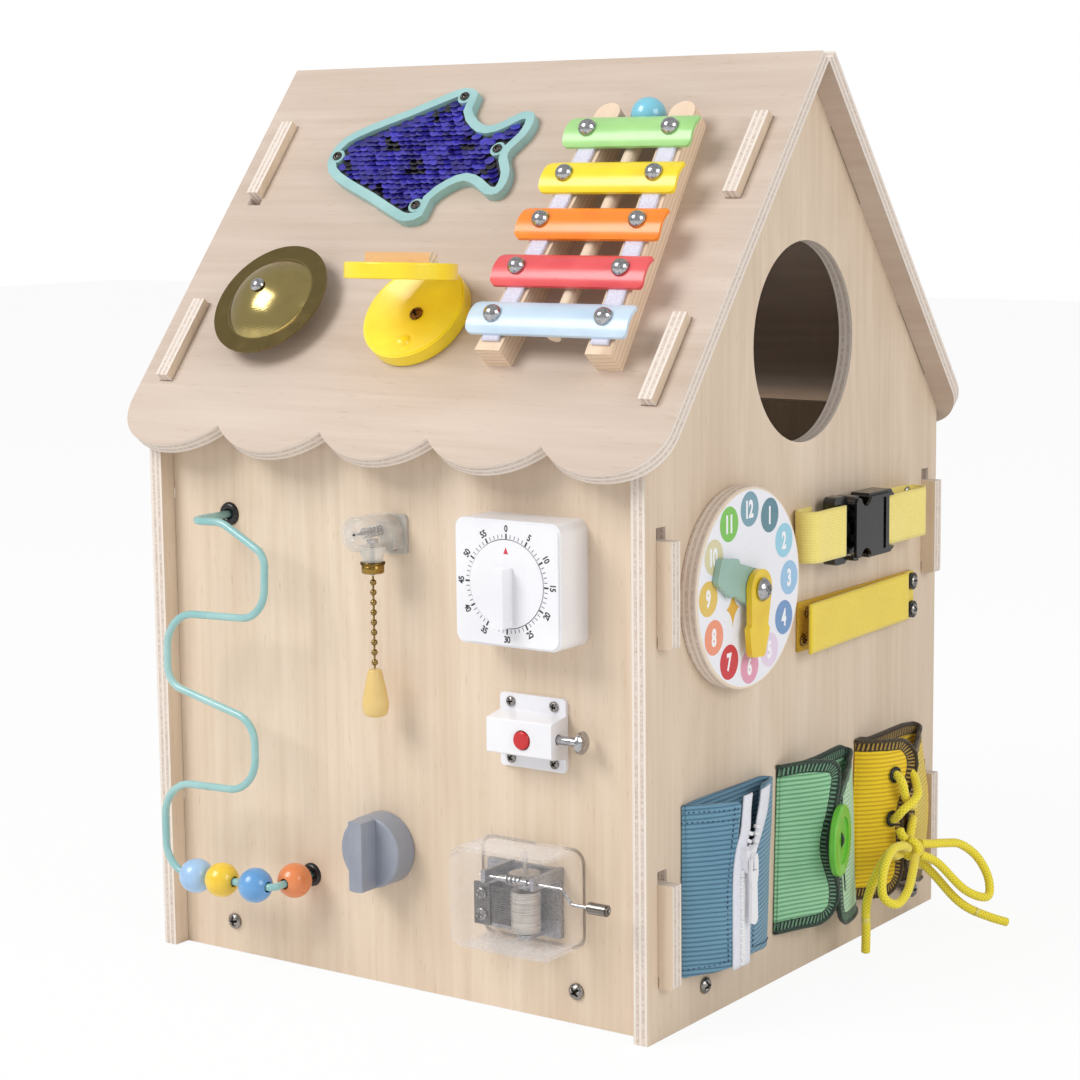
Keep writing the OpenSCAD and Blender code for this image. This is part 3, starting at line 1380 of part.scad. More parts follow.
stick_off = ball_d / 2 + 0.3;
ball_s = bar_s(0) - bar_w / 2 - 7;
module mallet_stick() {
    color("burlywood") on_roof(xylo_x, ball_s + 5.5, stick_off) rotate([90, 0, 0])
        cylinder(h = stick_len, d = stick_d, $fn = 64);
}
module mallet_ball() {
    color("royalblue") on_roof(xylo_x, ball_s, stick_off) difference() {
        sphere(d = ball_d, $fn = 128);
        rotate([90, 0, 0]) translate([0, 0, 5.5]) cylinder(h = 20, d = stick_d, $fn = 64);
    }
}

left_wall();
right_wall();
front_panel();
back_panel();
floor_panel();
front_roof();
rear_roof();
pan_head_screws();
pivot_pins();
maze_wire();
black_grommets();
bead_pale_blue();
bead_yellow();
bead_blue();
bead_orange();
switch_case();
switch_plunger();
pull_chain();
pull_drop();
timer_case();
timer_dial();
latch_case();
latch_button();
latch_bolt();
turn_knob();
music_case();
music_bedplate();
music_comb();
music_cylinder();
music_crank();
crank_grip();
clock_disc();
hour_hand();
minute_hand();
buckle_socket();
buckle_plug();
buckle_straps();
loop_flap();
hook_strip();
zip_cloth();
zip_slider();
zip_pull();
button_cloth();
big_button();
lace_cloth();
lace();
fish_frame();
sequin_cloth();
cymbal();
castanet_base();
castanet_clapper();
clapper_grip();
xylophone_rails();
bar_green();
bar_yellow();
bar_orange();
bar_red();
bar_pale_blue();
mallet_stick();
mallet_ball();
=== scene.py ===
# House-shaped activity cube of birch plywood with the hand toys on its front, right wall and roof.
# Metres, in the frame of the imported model: X along the front, Y to the back, Z up.

import math
import random
import bpy
from mathutils import Matrix, Vector, bvhtree, kdtree


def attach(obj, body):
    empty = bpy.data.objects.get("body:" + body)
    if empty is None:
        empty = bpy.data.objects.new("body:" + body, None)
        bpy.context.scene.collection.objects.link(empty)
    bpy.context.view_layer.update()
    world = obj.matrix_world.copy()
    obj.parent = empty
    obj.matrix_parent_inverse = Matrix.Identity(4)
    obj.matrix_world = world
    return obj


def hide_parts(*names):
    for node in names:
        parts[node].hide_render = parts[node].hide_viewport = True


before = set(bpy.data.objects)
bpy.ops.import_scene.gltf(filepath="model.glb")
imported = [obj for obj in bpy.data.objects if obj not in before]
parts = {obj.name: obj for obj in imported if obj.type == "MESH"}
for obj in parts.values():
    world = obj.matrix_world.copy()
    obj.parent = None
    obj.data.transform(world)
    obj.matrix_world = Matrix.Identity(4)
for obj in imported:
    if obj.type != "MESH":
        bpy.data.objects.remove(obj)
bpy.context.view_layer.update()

bpy.context.scene.view_settings.view_transform = "Standard"


# ---- Camera ----
# It stands in front of the house and to its right, a little below the ridge, and looks slightly
# down at the corner between the front and the right wall.
camera = bpy.data.objects.new("camera", bpy.data.cameras.new("camera"))
camera.data.lens = 86.53
camera.data.sensor_width = 36
bpy.context.scene.collection.objects.link(camera)
camera.matrix_world = (
    Matrix.Translation((0.7697, -0.98065, 0.4023))
    @ Matrix.Rotation(math.radians(34.98), 4, "Z")
    @ Matrix.Rotation(math.radians(90 - 8.23), 4, "X")
    @ Matrix.Rotation(math.radians(-0.62), 4, "Z")
)
bpy.context.scene.camera = camera


# ---- Lace ----
# One braided polyester lace, 4.6 mm thick, crossed twice through four eyelets and tied in a bow.
# Each free run is a tube along the line that the lace takes between the knot and its end.
def paint(red, green, blue):
    """Linear colour of a swatch given in 0-255."""
    swatch = [c / 255 for c in (red, green, blue)]
    return tuple(c / 12.92 if c < 0.04 else ((c + 0.055) / 1.055) ** 2.4 for c in swatch) + (1,)


class Finish:
    """One finish: the nodes that feed a Principled shader."""

    def __init__(self, name, colour, roughness=0.5, **settings):
        self.material = bpy.data.materials.new(name)
        self.material.use_nodes = True
        self.tree = self.material.node_tree
        self.shader = self.tree.nodes["Principled BSDF"]
        self.give(self.shader, {"Base Color": colour, "Roughness": roughness, **settings})

    def give(self, to, values):
        for socket, value in values.items():
            if isinstance(value, bpy.types.NodeSocket):
                self.tree.links.new(value, to.inputs[socket])
            else:
                to.inputs[socket].default_value = value

    def add(self, kind, **values):
        node = self.tree.nodes.new("ShaderNode" + kind)
        self.give(node, {name.replace("_", " "): value for name, value in values.items()})
        return node.outputs[0]

    def place(self, scale=(1, 1, 1), turn=(0, 0, 0), source="Object"):
        at = self.tree.nodes.new("ShaderNodeTexCoord").outputs[source]
        return self.add("Mapping", Vector=at, Scale=scale, Rotation=turn)

    def part(self, vector, axis):
        node = self.tree.nodes.new("ShaderNodeSeparateXYZ")
        self.give(node, {"Vector": vector})
        return node.outputs[axis]

    def noise(self, at, scale, detail, rough=0.5):
        return self.add("TexNoise", Vector=at, Scale=scale, Detail=detail, Roughness=rough)

    def grain(self, at, scale, detail=2.0, rough=0.5):
        """Noise drawn out by its own scale on each axis."""
        return self.noise(self.add("Mapping", Vector=at, Scale=scale), 1.0, detail, rough)

    def sum(self, how, *values):
        node = self.tree.nodes.new("ShaderNodeMath")
        node.operation = how
        for i, value in enumerate(values):
            self.give(node, {i: value})
        return node.outputs[0]

    def span(self, value, low, high, to_low=0.0, to_high=1.0):
        node = self.tree.nodes.new("ShaderNodeMapRange")
        self.give(node, {0: value, 1: low, 2: high, 3: to_low, 4: to_high})
        return node.outputs[0]

    def mix(self, share, a, b):
        node = self.tree.nodes.new("ShaderNodeMix")
        node.data_type = "RGBA"
        self.give(node, {0: share, 6: a, 7: b})
        return node.outputs[2]

    def shade(self, share, a, b):
        self.give(self.shader, {"Base Color": self.mix(share, a, b)})

    def gloss(self, value, low, high, least, most):
        self.give(self.shader, {"Roughness": self.span(value, low, high, least, most)})

    def relief(self, height, depth, strength):
        node = self.tree.nodes.new("ShaderNodeBump")
        self.give(node, {"Height": height, "Distance": depth, "Strength": strength})
        self.give(self.shader, {"Normal": node.outputs[0]})

    def coat(self, *objects):
        for one in objects:
            one.data.materials.clear()
            one.data.materials.append(self.material)


def new_piece(name, points, faces, finish, body, node=None, smooth=True, uvs=None):
    """Mesh piece that is shown instead of the node. uvs gives one pair for each point."""
    mesh = bpy.data.meshes.new(name)
    mesh.from_pydata([tuple(p) for p in points], [], faces)
    if uvs:
        layer = mesh.uv_layers.new(name="lay")
        for loop in mesh.loops:
            layer.data[loop.index].uv = uvs[loop.vertex_index]
    if smooth:
        mesh.shade_smooth()
    piece = bpy.data.objects.new(name, mesh)
    bpy.context.scene.collection.objects.link(piece)
    finish.coat(piece)
    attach(piece, body)
    if node:
        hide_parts(node)
    return piece


# Right wall's outer face and the middle of its depth, in mm
wall_face, mid_depth = 150, 131.75


def on_wall(along, up, out=0.0):
    """Point on the right wall, from millimetres along it, up and out of it."""
    return Vector((wall_face + out, mid_depth + along, up)) / 1000


def smooth_line(points, steps):
    """Points of a smooth line through the given ones."""
    line = []
    for i in range(len(points) - 1):
        a, b = points[max(i - 1, 0)], points[i]
        c, d = points[i + 1], points[min(i + 2, len(points) - 1)]
        for k in range(steps):
            t = k / steps
            line.append(0.5 * (2 * b + (c - a) * t + (2 * a - 5 * b + 4 * c - d) * t * t
                               + (3 * b - a - 3 * c + d) * t * t * t))
    return line + [points[-1]]


def length_of(line):
    return sum((b - a).length for a, b in zip(line, line[1:]))


def tube_mesh(line, radius, sides):
    """Points, faces and lay of a round tube. radius is one number or one for each point."""
    n = len(line)
    radii = radius if hasattr(radius, "__len__") else [radius] * n
    points, faces, lay = [], [], []
    side, run = None, 0.0
    for i, p in enumerate(line):
        ahead = (line[min(i + 1, n - 1)] - line[max(i - 1, 0)]).normalized()
        if side is None:
            side = ahead.cross((0, 0, 1) if abs(ahead.z) < 0.9 else (1, 0, 0))
        side = (side - ahead * side.dot(ahead)).normalized()
        run += (p - line[i - 1]).length if i else 0.0
        for k in range(sides + 1):
            turn = 2 * math.pi * k / sides
            points.append(p + radii[i] * (side * math.cos(turn) + ahead.cross(side) * math.sin(turn)))
            lay.append((run, k / sides))
    for i in range(n - 1):
        for k in range(sides):
            a = i * (sides + 1) + k
            faces.append((a, a + 1, a + sides + 2, a + sides + 1))
    faces.append(tuple(range(sides - 1, -1, -1)))
    faces.append(tuple((n - 1) * (sides + 1) + k for k in range(sides)))
    return points, faces, lay


def tube(name, line, radius, finish, node, sides=14):
    """Tube along a line, as a piece of the house."""
    points, faces, lay = tube_mesh(line, radius, sides)
    return new_piece(name, points, faces, finish, "house", node, uvs=lay)


# Braid: two families of strands that cross. The tube's lay is in metres along it and turns round it
strands_along, strands_round = 520.0, 6.0
lace_finish = Finish("braided_lace", paint(240, 216, 50), 0.75, **{"Sheen Weight": 0.35})
lace_lay = lace_finish.place(source="UV")
lace_along = lace_finish.sum("MULTIPLY", lace_finish.part(lace_lay, 0), strands_along)
lace_round = lace_finish.sum("MULTIPLY", lace_finish.part(lace_lay, 1), strands_round)
strand_one = lace_finish.sum("PINGPONG", lace_finish.sum("ADD", lace_along, lace_round), 0.5)
strand_two = lace_finish.sum("PINGPONG", lace_finish.sum("SUBTRACT", lace_along, lace_round), 0.5)
braid = lace_finish.sum("MAXIMUM", strand_one, strand_two)
# Painted shade: the lace is darker in the gaps between the strands, from the same braid that makes its
# bump.
lace_finish.shade(lace_finish.span(braid, 0.1, 0.45), paint(226, 196, 22), paint(255, 240, 66))
lace_finish.relief(braid, 0.0004, 0.8)

# Runs of the lace: (along the wall, up, out of it) in mm
lace_d = 0.0046
lace_ends = {
    "lace_end_left": [(65.8, 46.7, 21.3), (58, 47.5, 22.5), (47.5, 51.5, 24), (33.5, 43, 24),
                      (27.5, 30, 22), (28, 15, 21.5), (29.5, 3.5, 20.5)],
    "lace_end_right": [(75.9, 46.1, 21.3), (82, 40, 24), (89, 31, 29.5), (95.5, 19, 37.5),
                       (100.5, 12.5, 44), (109, 7, 52), (117, 3.2, 58)],
}
lace_loops = {
    "lace_loop_left": [(64.8, 50.3, 26.1), (56, 54, 27.5), (43, 54.5, 28), (30, 47, 30),
                       (24, 36, 33), (30, 31, 37.5), (41, 35, 38), (55, 42.5, 34),
                       (67.4, 45.7, 28.9)],
    "lace_loop_right": [(76.9, 50.6, 26.8), (84, 49, 29), (93, 48, 33), (102, 46, 38),
                        (110, 38, 44), (111, 27, 50), (105, 19, 52), (95, 24, 44),
                        (84, 39.5, 33.5), (74.9, 45.1, 27.9)],
}
lace_crossings = {
    "lace_cross_upper": [(71.1, 87, 10.5), (70.1, 87, 15.6), (69.75, 86.9, 17.2), (68.6, 83.5, 20.6),
                         (72, 75, 21), (79, 70, 20.6), (86, 67.4, 18), (87, 66, 14.5), (87, 66, 9)],
    "lace_cross_lower": [(84, 88, 9), (84, 88, 15), (83.5, 86.9, 18), (81, 82, 22), (74, 76, 26.2),
                         (66, 70, 22.5), (67.4, 64.6, 17.4), (68.05, 64, 15), (69.2, 64, 10.5)],
}
lace_stubs = {
    "lace_stub_left": [(68.8, 58.5, 19.3), (67.6, 56.5, 20.8), (68.4, 53.9, 22.9)],
    "lace_stub_right": [(85, 61, 18.6), (79.5, 58.5, 20.6), (74.2, 53.3, 22.3)],
}


def lace_run(name, corners):
    line = smooth_line([on_wall(*c) for c in corners], 8)
    return tube(name, line, lace_d / 2, lace_finish, "lace"), line


# Knot: the lace goes twice round the two loops
knot, knot_long, knot_wide, knot_deep = (71, 49, 24.5), 3.6, 4.0, 4.1
knot_turns = []
for i in range(49):
    turn = 4 * math.pi * i / 48
    wide = knot_wide + 0.5 * math.cos(turn / 2)
    knot_turns.append(on_wall(knot[0] + knot_long * (i / 48 - 0.5) + 0.8 * math.sin(turn),
                              knot[1] + wide * math.cos(turn),
                              knot[2] + knot_deep * math.sin(turn)))
lace_knot = tube("lace_knot", knot_turns, 0.00235, lace_finish, "lace")

# Aglets: clear film shrunk on the ends, which taper a little and have a rolled edge
aglet_finish = Finish("clear_aglet", paint(235, 222, 96), 0.22, **{"Coat Weight": 0.6})
aglet_finish.shade(aglet_finish.noise(aglet_finish.place(), 300.0, 3.0), paint(228, 208, 70),
                   paint(240, 230, 130))
aglet_len, aglet_r, aglet_edge_r = 0.019, 0.00232, 0.0024
for name, corners in lace_ends.items():
    piece, line = lace_run(name, corners)
    back, run = len(line) - 1, 0.0
    while run < aglet_len:
        run += (line[back] - line[back - 1]).length
        back -= 1
    tip = line[back:]
    radii = [aglet_r - 0.0006 * min(1, 2.5 * i / len(tip)) for i in range(len(tip))]
    radii[:2] = [aglet_edge_r, aglet_edge_r]
    aglet = tube(name + "_aglet", tip, radii, aglet_finish, "lace")
for name, corners in lace_loops.items():
    piece, line = lace_run(name, corners)
stubs = [lace_run(name, corners)[0] for name, corners in lace_stubs.items()]
for name, corners in lace_crossings.items():
    piece, line = lace_run(name, corners)


# ---- Floor and light ----
# A white floor that keeps the shadow, a large soft lamp at the front left, a smaller one at the
# right, and a pale room all round.
def seen_white(tree, share, lit, white, out):
    """Shows white to the camera and through clear parts, by that share, and lit to all the rest.
    lit, white and out are each a kind of node and its settings."""
    tree.nodes.clear()
    made = {}
    for name, (kind, settings) in {
        "ray": ("LightPath", {}), "seen": ("Math", {}), "part": ("Math", {1: share}),
        "lit": lit, "white": white, "mixed": ("MixShader", {}), "out": out,
    }.items():
        made[name] = tree.nodes.new("ShaderNode" + kind)
        for socket, value in settings.items():
            made[name].inputs[socket].default_value = value
    made["seen"].operation = "MAXIMUM"
    made["part"].operation = "MULTIPLY"
    for start, output, end, socket in (
        ("ray", "Is Camera Ray", "seen", 0), ("ray", "Is Transmission Ray", "seen", 1),
        ("seen", 0, "part", 0), ("part", 0, "mixed", 0), ("lit", 0, "mixed", 1),
        ("white", 0, "mixed", 2), ("mixed", 0, "out", 0),
    ):
        tree.links.new(made[start].outputs[output], made[end].inputs[socket])


floor_reach, floor_top = 6.0, -0.0003
floor_mesh = bpy.data.meshes.new("floor")
floor_mesh.from_pydata([(x * floor_reach, y * floor_reach, floor_top) for x, y in
                        ((-1, -1), (1, -1), (1, 1), (-1, 1))], [], [(0, 1, 2, 3)])
floor = bpy.data.objects.new("floor", floor_mesh)
bpy.context.scene.collection.objects.link(floor)
floor_paint = bpy.data.materials.new("floor_white")
floor_paint.use_nodes = True
seen_white(floor_paint.node_tree, 0.92, ("BsdfDiffuse", {"Color": (0.9, 0.9, 0.9, 1)}),
           ("Emission", {"Strength": 1.0}), ("OutputMaterial", {}))
floor_mesh.materials.append(floor_paint)

room = bpy.data.worlds.new("pale_room")
room.use_nodes = True
bpy.context.scene.world = room
seen_white(room.node_tree, 1.0, ("Background", {"Color": (1, 0.99, 0.98, 1), "Strength": 0.55}),
           ("Background", {"Color": (1, 1, 1, 1), "Strength": 1.0}), ("OutputWorld", {}))


def soft_lamp(name, at, aim, size, power):
    lamp = bpy.data.objects.new(name, bpy.data.lights.new(name, "AREA"))
    lamp.data.size = size
    lamp.data.energy = power
    lamp.location = at
    lamp.rotation_euler = (Vector(aim) - Vector(at)).to_track_quat("-Z", "Y").to_euler()
    bpy.context.scene.collection.objects.link(lamp)


soft_lamp("lamp_front_left", (-1.1, -1.9, 2.1), (0, 0.05, 0.2), 1.4, 52)
soft_lamp("lamp_right", (2.4, -0.3, 1.3), (0.1, 0.13, 0.2), 1.2, 20)


# ---- Plywood house ----
# Seven sheets of 7.5 mm birch plywood, routed, sanded and clear-coated, and slotted together.
# The faces show rotary-cut birch grain, and the cut edges show the five veneers.
veneer = 0.0015
ply = 5 * veneer


def plywood(name, along, through, outer, light, dark):
    """Finish of one sheet. along is the face grain, through the way to its outer face."""
    along, through = Vector(along), Vector(through)
    turn = Matrix((along.cross(through), along, through)).to_euler()
    wood = Finish(name, light, 0.55, **{"Coat Weight": 0.12, "Coat Roughness": 0.4})
    at = wood.place(turn=turn)
    # Slow bands of early and late wood, drawn out along the grain into tall pointed arches
    arches = wood.grain(at, (9, 1.6, 1))
    bands = wood.sum("SINE", wood.sum("MULTIPLY", arches, 105.0))
    streaks = wood.grain(at, (260, 7, 40), 4.0, 0.6)
    broad = wood.grain(at, (26, 3, 6), 3.0)
    flecks = wood.grain(at, (900, 110, 60), 1.0)
    tone = wood.sum("ADD", wood.sum("MULTIPLY", streaks, 0.75), wood.sum("MULTIPLY", broad, 0.9))
    tone = wood.sum("ADD", tone, wood.sum("MULTIPLY", bands, 0.05))
    face = wood.mix(wood.span(tone, 0.42, 1.15), dark, light)
    face = wood.mix(wood.span(flecks, 0.66, 0.8, 0.0, 0.28), face, paint(168, 132, 98))
    # Veneers, counted from the outer face: long grain, end grain, long grain and so on
    depth = wood.sum("DIVIDE", wood.sum("SUBTRACT", outer, wood.part(at, 2)), veneer)
    turned = wood.sum("PINGPONG", wood.sum("FLOOR", depth), 1.0)
    glue = wood.span(wood.sum("PINGPONG", depth, 0.5), 0.0, 0.1, 1.0, 0.0)
    pores = wood.grain(at, (700, 700, 500))
    end = wood.mix(wood.span(pores, 0.3, 0.7), paint(196, 178, 164), paint(226, 212, 202))
    edge = wood.mix(turned, paint(230, 219, 208), end)
    edge = wood.mix(wood.sum("MULTIPLY", glue, 0.5), edge, paint(160, 138, 122))
    normal = wood.place(turn=turn, source="Normal")
    flat = wood.span(wood.sum("ABSOLUTE", wood.part(normal, 2)), 0.7, 0.75)
    wood.shade(flat, edge, face)
    fibre = wood.grain(at, (1500, 60, 900))
    wood.relief(wood.sum("ADD", fibre, wood.sum("MULTIPLY", streaks, 0.5)), 0.00006, 0.5)
    return wood


slope = math.radians(51)
roof_out = Vector((0, -math.sin(slope), math.cos(slope)))
rear_out = Vector((0, math.sin(slope), math.cos(slope)))
ridge = Vector((0, mid_depth, 462)) / 1000
front_face, back_face, floor_face = ply / 2, 0.2635 + ply / 2, 0.016 + ply / 2
# The right wall and the two roofs take darker copies of the wall's tones: painted shade for how the light
# falls on them.
walls = paint(231, 213, 192), paint(208, 185, 158)
right = paint(226, 208, 187), paint(203, 181, 156)
roof_shaded_tones = paint(208, 191, 177), paint(187, 166, 148)
for panel, along, through, outer, tones in (
    ("front_panel", (0, 0, 1), (0, -1, 0), front_face, walls),
    ("back_panel", (0, 0, 1), (0, 1, 0), back_face, walls),
    ("right_wall", (0, 0, 1), (1, 0, 0), wall_face / 1000, right),
    ("left_wall", (0, 0, 1), (-1, 0, 0), wall_face / 1000, walls),
    ("floor_panel", (1, 0, 0), (0, 0, 1), floor_face, walls),
    ("front_roof", (1, 0, 0), roof_out, ridge.dot(roof_out), roof_shaded_tones),
    ("rear_roof", (1, 0, 0), rear_out, ridge.dot(rear_out), roof_shaded_tones),
):
    plywood(panel + "_ply", along, through, outer, *tones).coat(parts[panel])


# ---- Screws ----
# Nickel-plated pan-head screws with a cross recess hold the sheets and the toys. The recess is
# pressed into the head, so each head is a round net of points that dips where the cross is.
def seat_at(origin, right, up):
    """Seat in a face: its X and Y lie in the face, and its Z points out of it."""
    right, up = Vector(right), Vector(up)
    out = right.cross(up)
    grid = Matrix((right, up, out)).transposed().to_4x4()
    grid.translation = Vector(origin)
    return grid


def on_front(x, z, out=0.0):
    return seat_at((x / 1000, -front_face - out / 1000, z / 1000), (1, 0, 0), (0, 0, 1))


def on_side(along, up, out=0.0):
    return seat_at(on_wall(along, up, out), (0, 1, 0), (0, 0, 1))


def on_left(along, up, out):
    spot = on_wall(along, up, out)
    return seat_at((-spot.x, spot.y, spot.z), (0, -1, 0), (0, 0, 1))


def on_back(x, z):
    return seat_at((x / 1000, back_face, z / 1000), (-1, 0, 0), (0, 0, 1))


def point_on(seat, x, y, z=0.0):
    """Point x, y, z mm from a seat, along the seat's own axes."""
    return seat @ (Vector((x, y, z)) / 1000)


def cross_depth(x, y, radius):
    """0 to 1: how deep the cross recess is at x, y on a head of that radius."""
    arm, half = radius * 0.62, radius * 0.15
    deep = 0.0
    for u, v in ((x, y), (y, x)):
        inside = min((arm - abs(u)) / (radius * 0.1), (half - abs(v)) / (radius * 0.07))
        deep = max(deep, min(1.0, max(0.0, inside + 0.5)))
    return deep


def screw_heads(name, places, finish):
    """places: (seat of the head, its diameter in mm, turn of its cross in degrees)."""
    points, faces, lay = [], [], []
    rings, sides = 14, 48
    crown, recess = 0.72, 0.36
    for seat, head, turned in places:
        radius = head / 2
        start = len(points)
        spin = seat @ Matrix.Rotation(math.radians(turned), 4, "Z")
        profile = [(radius * i / rings, radius * crown * (1 - (i / rings) ** 2.6 * 0.62))
                   for i in range(1, rings + 1)] + [(radius * 0.985, 0)]
        points.append(point_on(spin, 0, 0, radius * (crown - recess)))
        lay.append((1, 0))
        for r, h in profile:
            for k in range(sides):
                x = r * math.cos(2 * math.pi * k / sides)
                y = r * math.sin(2 * math.pi * k / sides)
                deep = cross_depth(x, y, radius)
                points.append(point_on(spin, x, y, h - deep * radius * recess))
                lay.append((deep, 0))
        for k in range(sides):
            faces.append((start, start + 1 + k, start + 1 + (k + 1) % sides))
        for i in range(len(profile) - 1):
            for k in range(sides):
                a, b = start + 1 + i * sides + k, start + 1 + i * sides + (k + 1) % sides
                faces.append((a, a + sides, b + sides, b))
        shank = start + 1 + (len(profile) - 1) * sides
        faces.append(tuple(shank + sides - 1 - k for k in range(sides)))
    new_piece(name, points, faces, finish, "house", "pan_head_screws", uvs=lay)


def plated(name, light, dark, roughness=0.22):
    """Plated steel: small waves from barrel plating, and painted shade, nearly black, in the cross recess.
    """
    steel = Finish(name, light, roughness, **{"Metallic": 1.0})
    waves = steel.noise(steel.place(), 900.0, 3.0)
    shade = steel.mix(steel.span(waves, 0.3, 0.8), dark, light)
    deep = steel.part(steel.place(source="UV"), 0)
    # Painted shade: the deeper into the cross recess, the nearer to black.
    steel.shade(deep, shade, paint(40, 36, 32))
    steel.gloss(waves, 0.3, 0.8, roughness, roughness + 0.15)
    steel.relief(waves, 0.00003, 0.4)
    return steel


nickel = plated("nickel_plate", paint(190, 188, 186), paint(120, 116, 112))
brassy = plated("brass_plate", paint(176, 150, 96), paint(120, 96, 52))
bronze = plated("bronze_plate", paint(150, 104, 58), paint(92, 58, 28), 0.4)
sheet_screw_d = 8
sheet_screws = []
for i, (along, up, out) in enumerate([(-94.6, 16, 0), (110, 14.55, 5.5)]):
    sheet_screws.append((on_side(along, up, out), sheet_screw_d, 20 + 50 * i))
    sheet_screws.append((on_left(-along, up, out), sheet_screw_d, 35 - 50 * i))
for i, x in enumerate([-109, 104.6]):
    sheet_screws.append((on_front(x, 16), sheet_screw_d, 10 + 30 * i))
    sheet_screws.append((on_back(-x, 16), sheet_screw_d, 60 + 30 * i))
screw_heads("sheet_screws", sheet_screws, nickel)


# ---- Bead maze ----
# A 3.8 mm steel wire, bent cold and dipped in pastel enamel, ends in two black plastic rings.
# Four lacquered beech beads slide on it.
def enamel(name, colour, shade, roughness, raised=0.0, **settings):
    """Paint with a clear gloss: slow drift of tone, orange peel and, on wood, raised grain."""
    paint_coat = Finish(name, colour, roughness, **{"Coat Weight": 0.35, "Coat Roughness": 0.12,
                                                    **settings})
    at = paint_coat.place()
    drift = paint_coat.noise(at, 45.0, 2.0)
    tone = paint_coat.mix(paint_coat.span(drift, 0.3, 0.7), shade, colour)
    peel = paint_coat.noise(at, 1100.0, 2.0)
    if raised:
        fibre = paint_coat.grain(at, (420, 420, 45), 3.0)
        tone = paint_coat.mix(paint_coat.span(fibre, 0.45, 0.75, 0.0, raised), tone, shade)
        peel = paint_coat.sum("ADD", peel, paint_coat.sum("MULTIPLY", fibre, 2.5))
    paint_coat.give(paint_coat.shader, {"Base Color": tone})
    paint_coat.gloss(drift, 0.2, 0.8, roughness - 0.04, roughness + 0.08)
    paint_coat.relief(peel, 0.00004, 0.25)
    return paint_coat


# Corners of the wire as (x, z, bend radius) in mm, at one distance from the panel. Its two ends
# go straight in through the panel.
wire_d, wire_out, wire_in = 3.8, 30, -7.5
wire_corners = [
    (-105.1, 229.2, 9), (-84, 229.8, 15), (-56.5, 215.5, 9.5), (-58, 183.5, 16),
    (-122.5, 181.5, 19), (-123, 145.2, 11), (-66, 131.6, 14), (-66.2, 96, 18),
    (-127.8, 94, 19), (-127.6, 46.8, 15), (-56.7, 48.6, 3.5),
]


def bent_line(corners, bends):
    """The line of a bent wire: straight runs joined by arcs of the given radii."""
    line = [corners[0]]
    for before, at, after, radius in zip(corners, corners[1:], corners[2:], bends):
        going, leaving = (at - before).normalized(), (after - at).normalized()
        turn = going.angle(leaving)
        inward = (leaving - going * going.dot(leaving)).normalized()
        centre = at - going * radius * math.tan(turn / 2) + inward * radius
        count = max(2, math.ceil(math.degrees(turn) / 6))
        for k in range(count + 1):
            angle = turn * k / count
            line.append(centre + radius * (going * math.sin(angle) - inward * math.cos(angle)))
    return line + [corners[-1]]


wire_runs = [on_front(x, z, wire_out).translation for x, z, bend in wire_corners]
wire_ends = [on_front(x, z, wire_in).translation for x, z, bend in (wire_corners[0], wire_corners[-1])]
wire_line = bent_line([wire_ends[0], *wire_runs, wire_ends[1]],
                      [bend / 1000 for x, z, bend in wire_corners])
wire_enamel = enamel("wire_enamel", paint(160, 201, 200), paint(136, 186, 186), 0.25)
tube("maze_bent_wire", wire_line, wire_d / 2000, wire_enamel, "maze_wire", 24)

for bead, light, dark in (
    ("bead_pale_blue", paint(166, 200, 236), paint(146, 184, 224)),
    ("bead_yellow", paint(243, 208, 66), paint(232, 190, 46)),
    ("bead_blue", paint(112, 170, 222), paint(94, 152, 208)),
    ("bead_orange", paint(240, 148, 92), paint(226, 130, 74)),
):
    enamel(bead + "_lacquer", light, dark, 0.24, 0.35).coat(parts[bead])


def moulded(name, colour, shade, roughness, grit=0.3, **settings):
    """Injection-moulded plastic: an even colour with faint flow, over a fine spark texture."""
    plastic = Finish(name, colour, roughness, **settings)
    at = plastic.place()
    flow = plastic.noise(at, 30.0, 2.0)
    plastic.shade(plastic.span(flow, 0.3, 0.7), shade, colour)
    spark = plastic.noise(at, 2600.0, 2.0)
    plastic.gloss(spark, 0.3, 0.7, roughness - 0.04, roughness + 0.06)
    plastic.relief(spark, 0.00003, grit)
    return plastic


black_plastic = moulded("black_plastic", paint(22, 22, 24), paint(14, 14, 15), 0.28)
black_plastic.coat(parts["black_grommets"])


# ---- Pull switch ----
# A ceiling-fan switch: a clear polycarbonate drum with its spring inside, screwed down by a
# plate, with a knurled brass collar from which a ball chain and a turned wooden pull hang.
def revolved(name, seat, profile, finish, node=None, sides=72, closed=False, ripple=None):
    """Turned piece. profile is (radius, height) in mm; ripple(i, k) scales the radius of point i
    of the profile at step k of the turn."""
    points, faces, lay = [], [], []
    n = len(profile)
    for i, (radius, height) in enumerate(profile):
        for k in range(sides):
            turn = 2 * math.pi * k / sides
            r = radius * (ripple(i, k) if ripple else 1)
            points.append(point_on(seat, r * math.cos(turn), r * math.sin(turn), height))
            lay.append((i / n, k / sides))
    for i in range(n if closed else n - 1):
        for k in range(sides):
            a, b = i * sides + k, i * sides + (k + 1) % sides
            c, d = ((i + 1) % n) * sides + (k + 1) % sides, ((i + 1) % n) * sides + k
            faces.append((a, b, c, d))
    return new_piece(name, points, faces, finish, "house", node, uvs=lay)


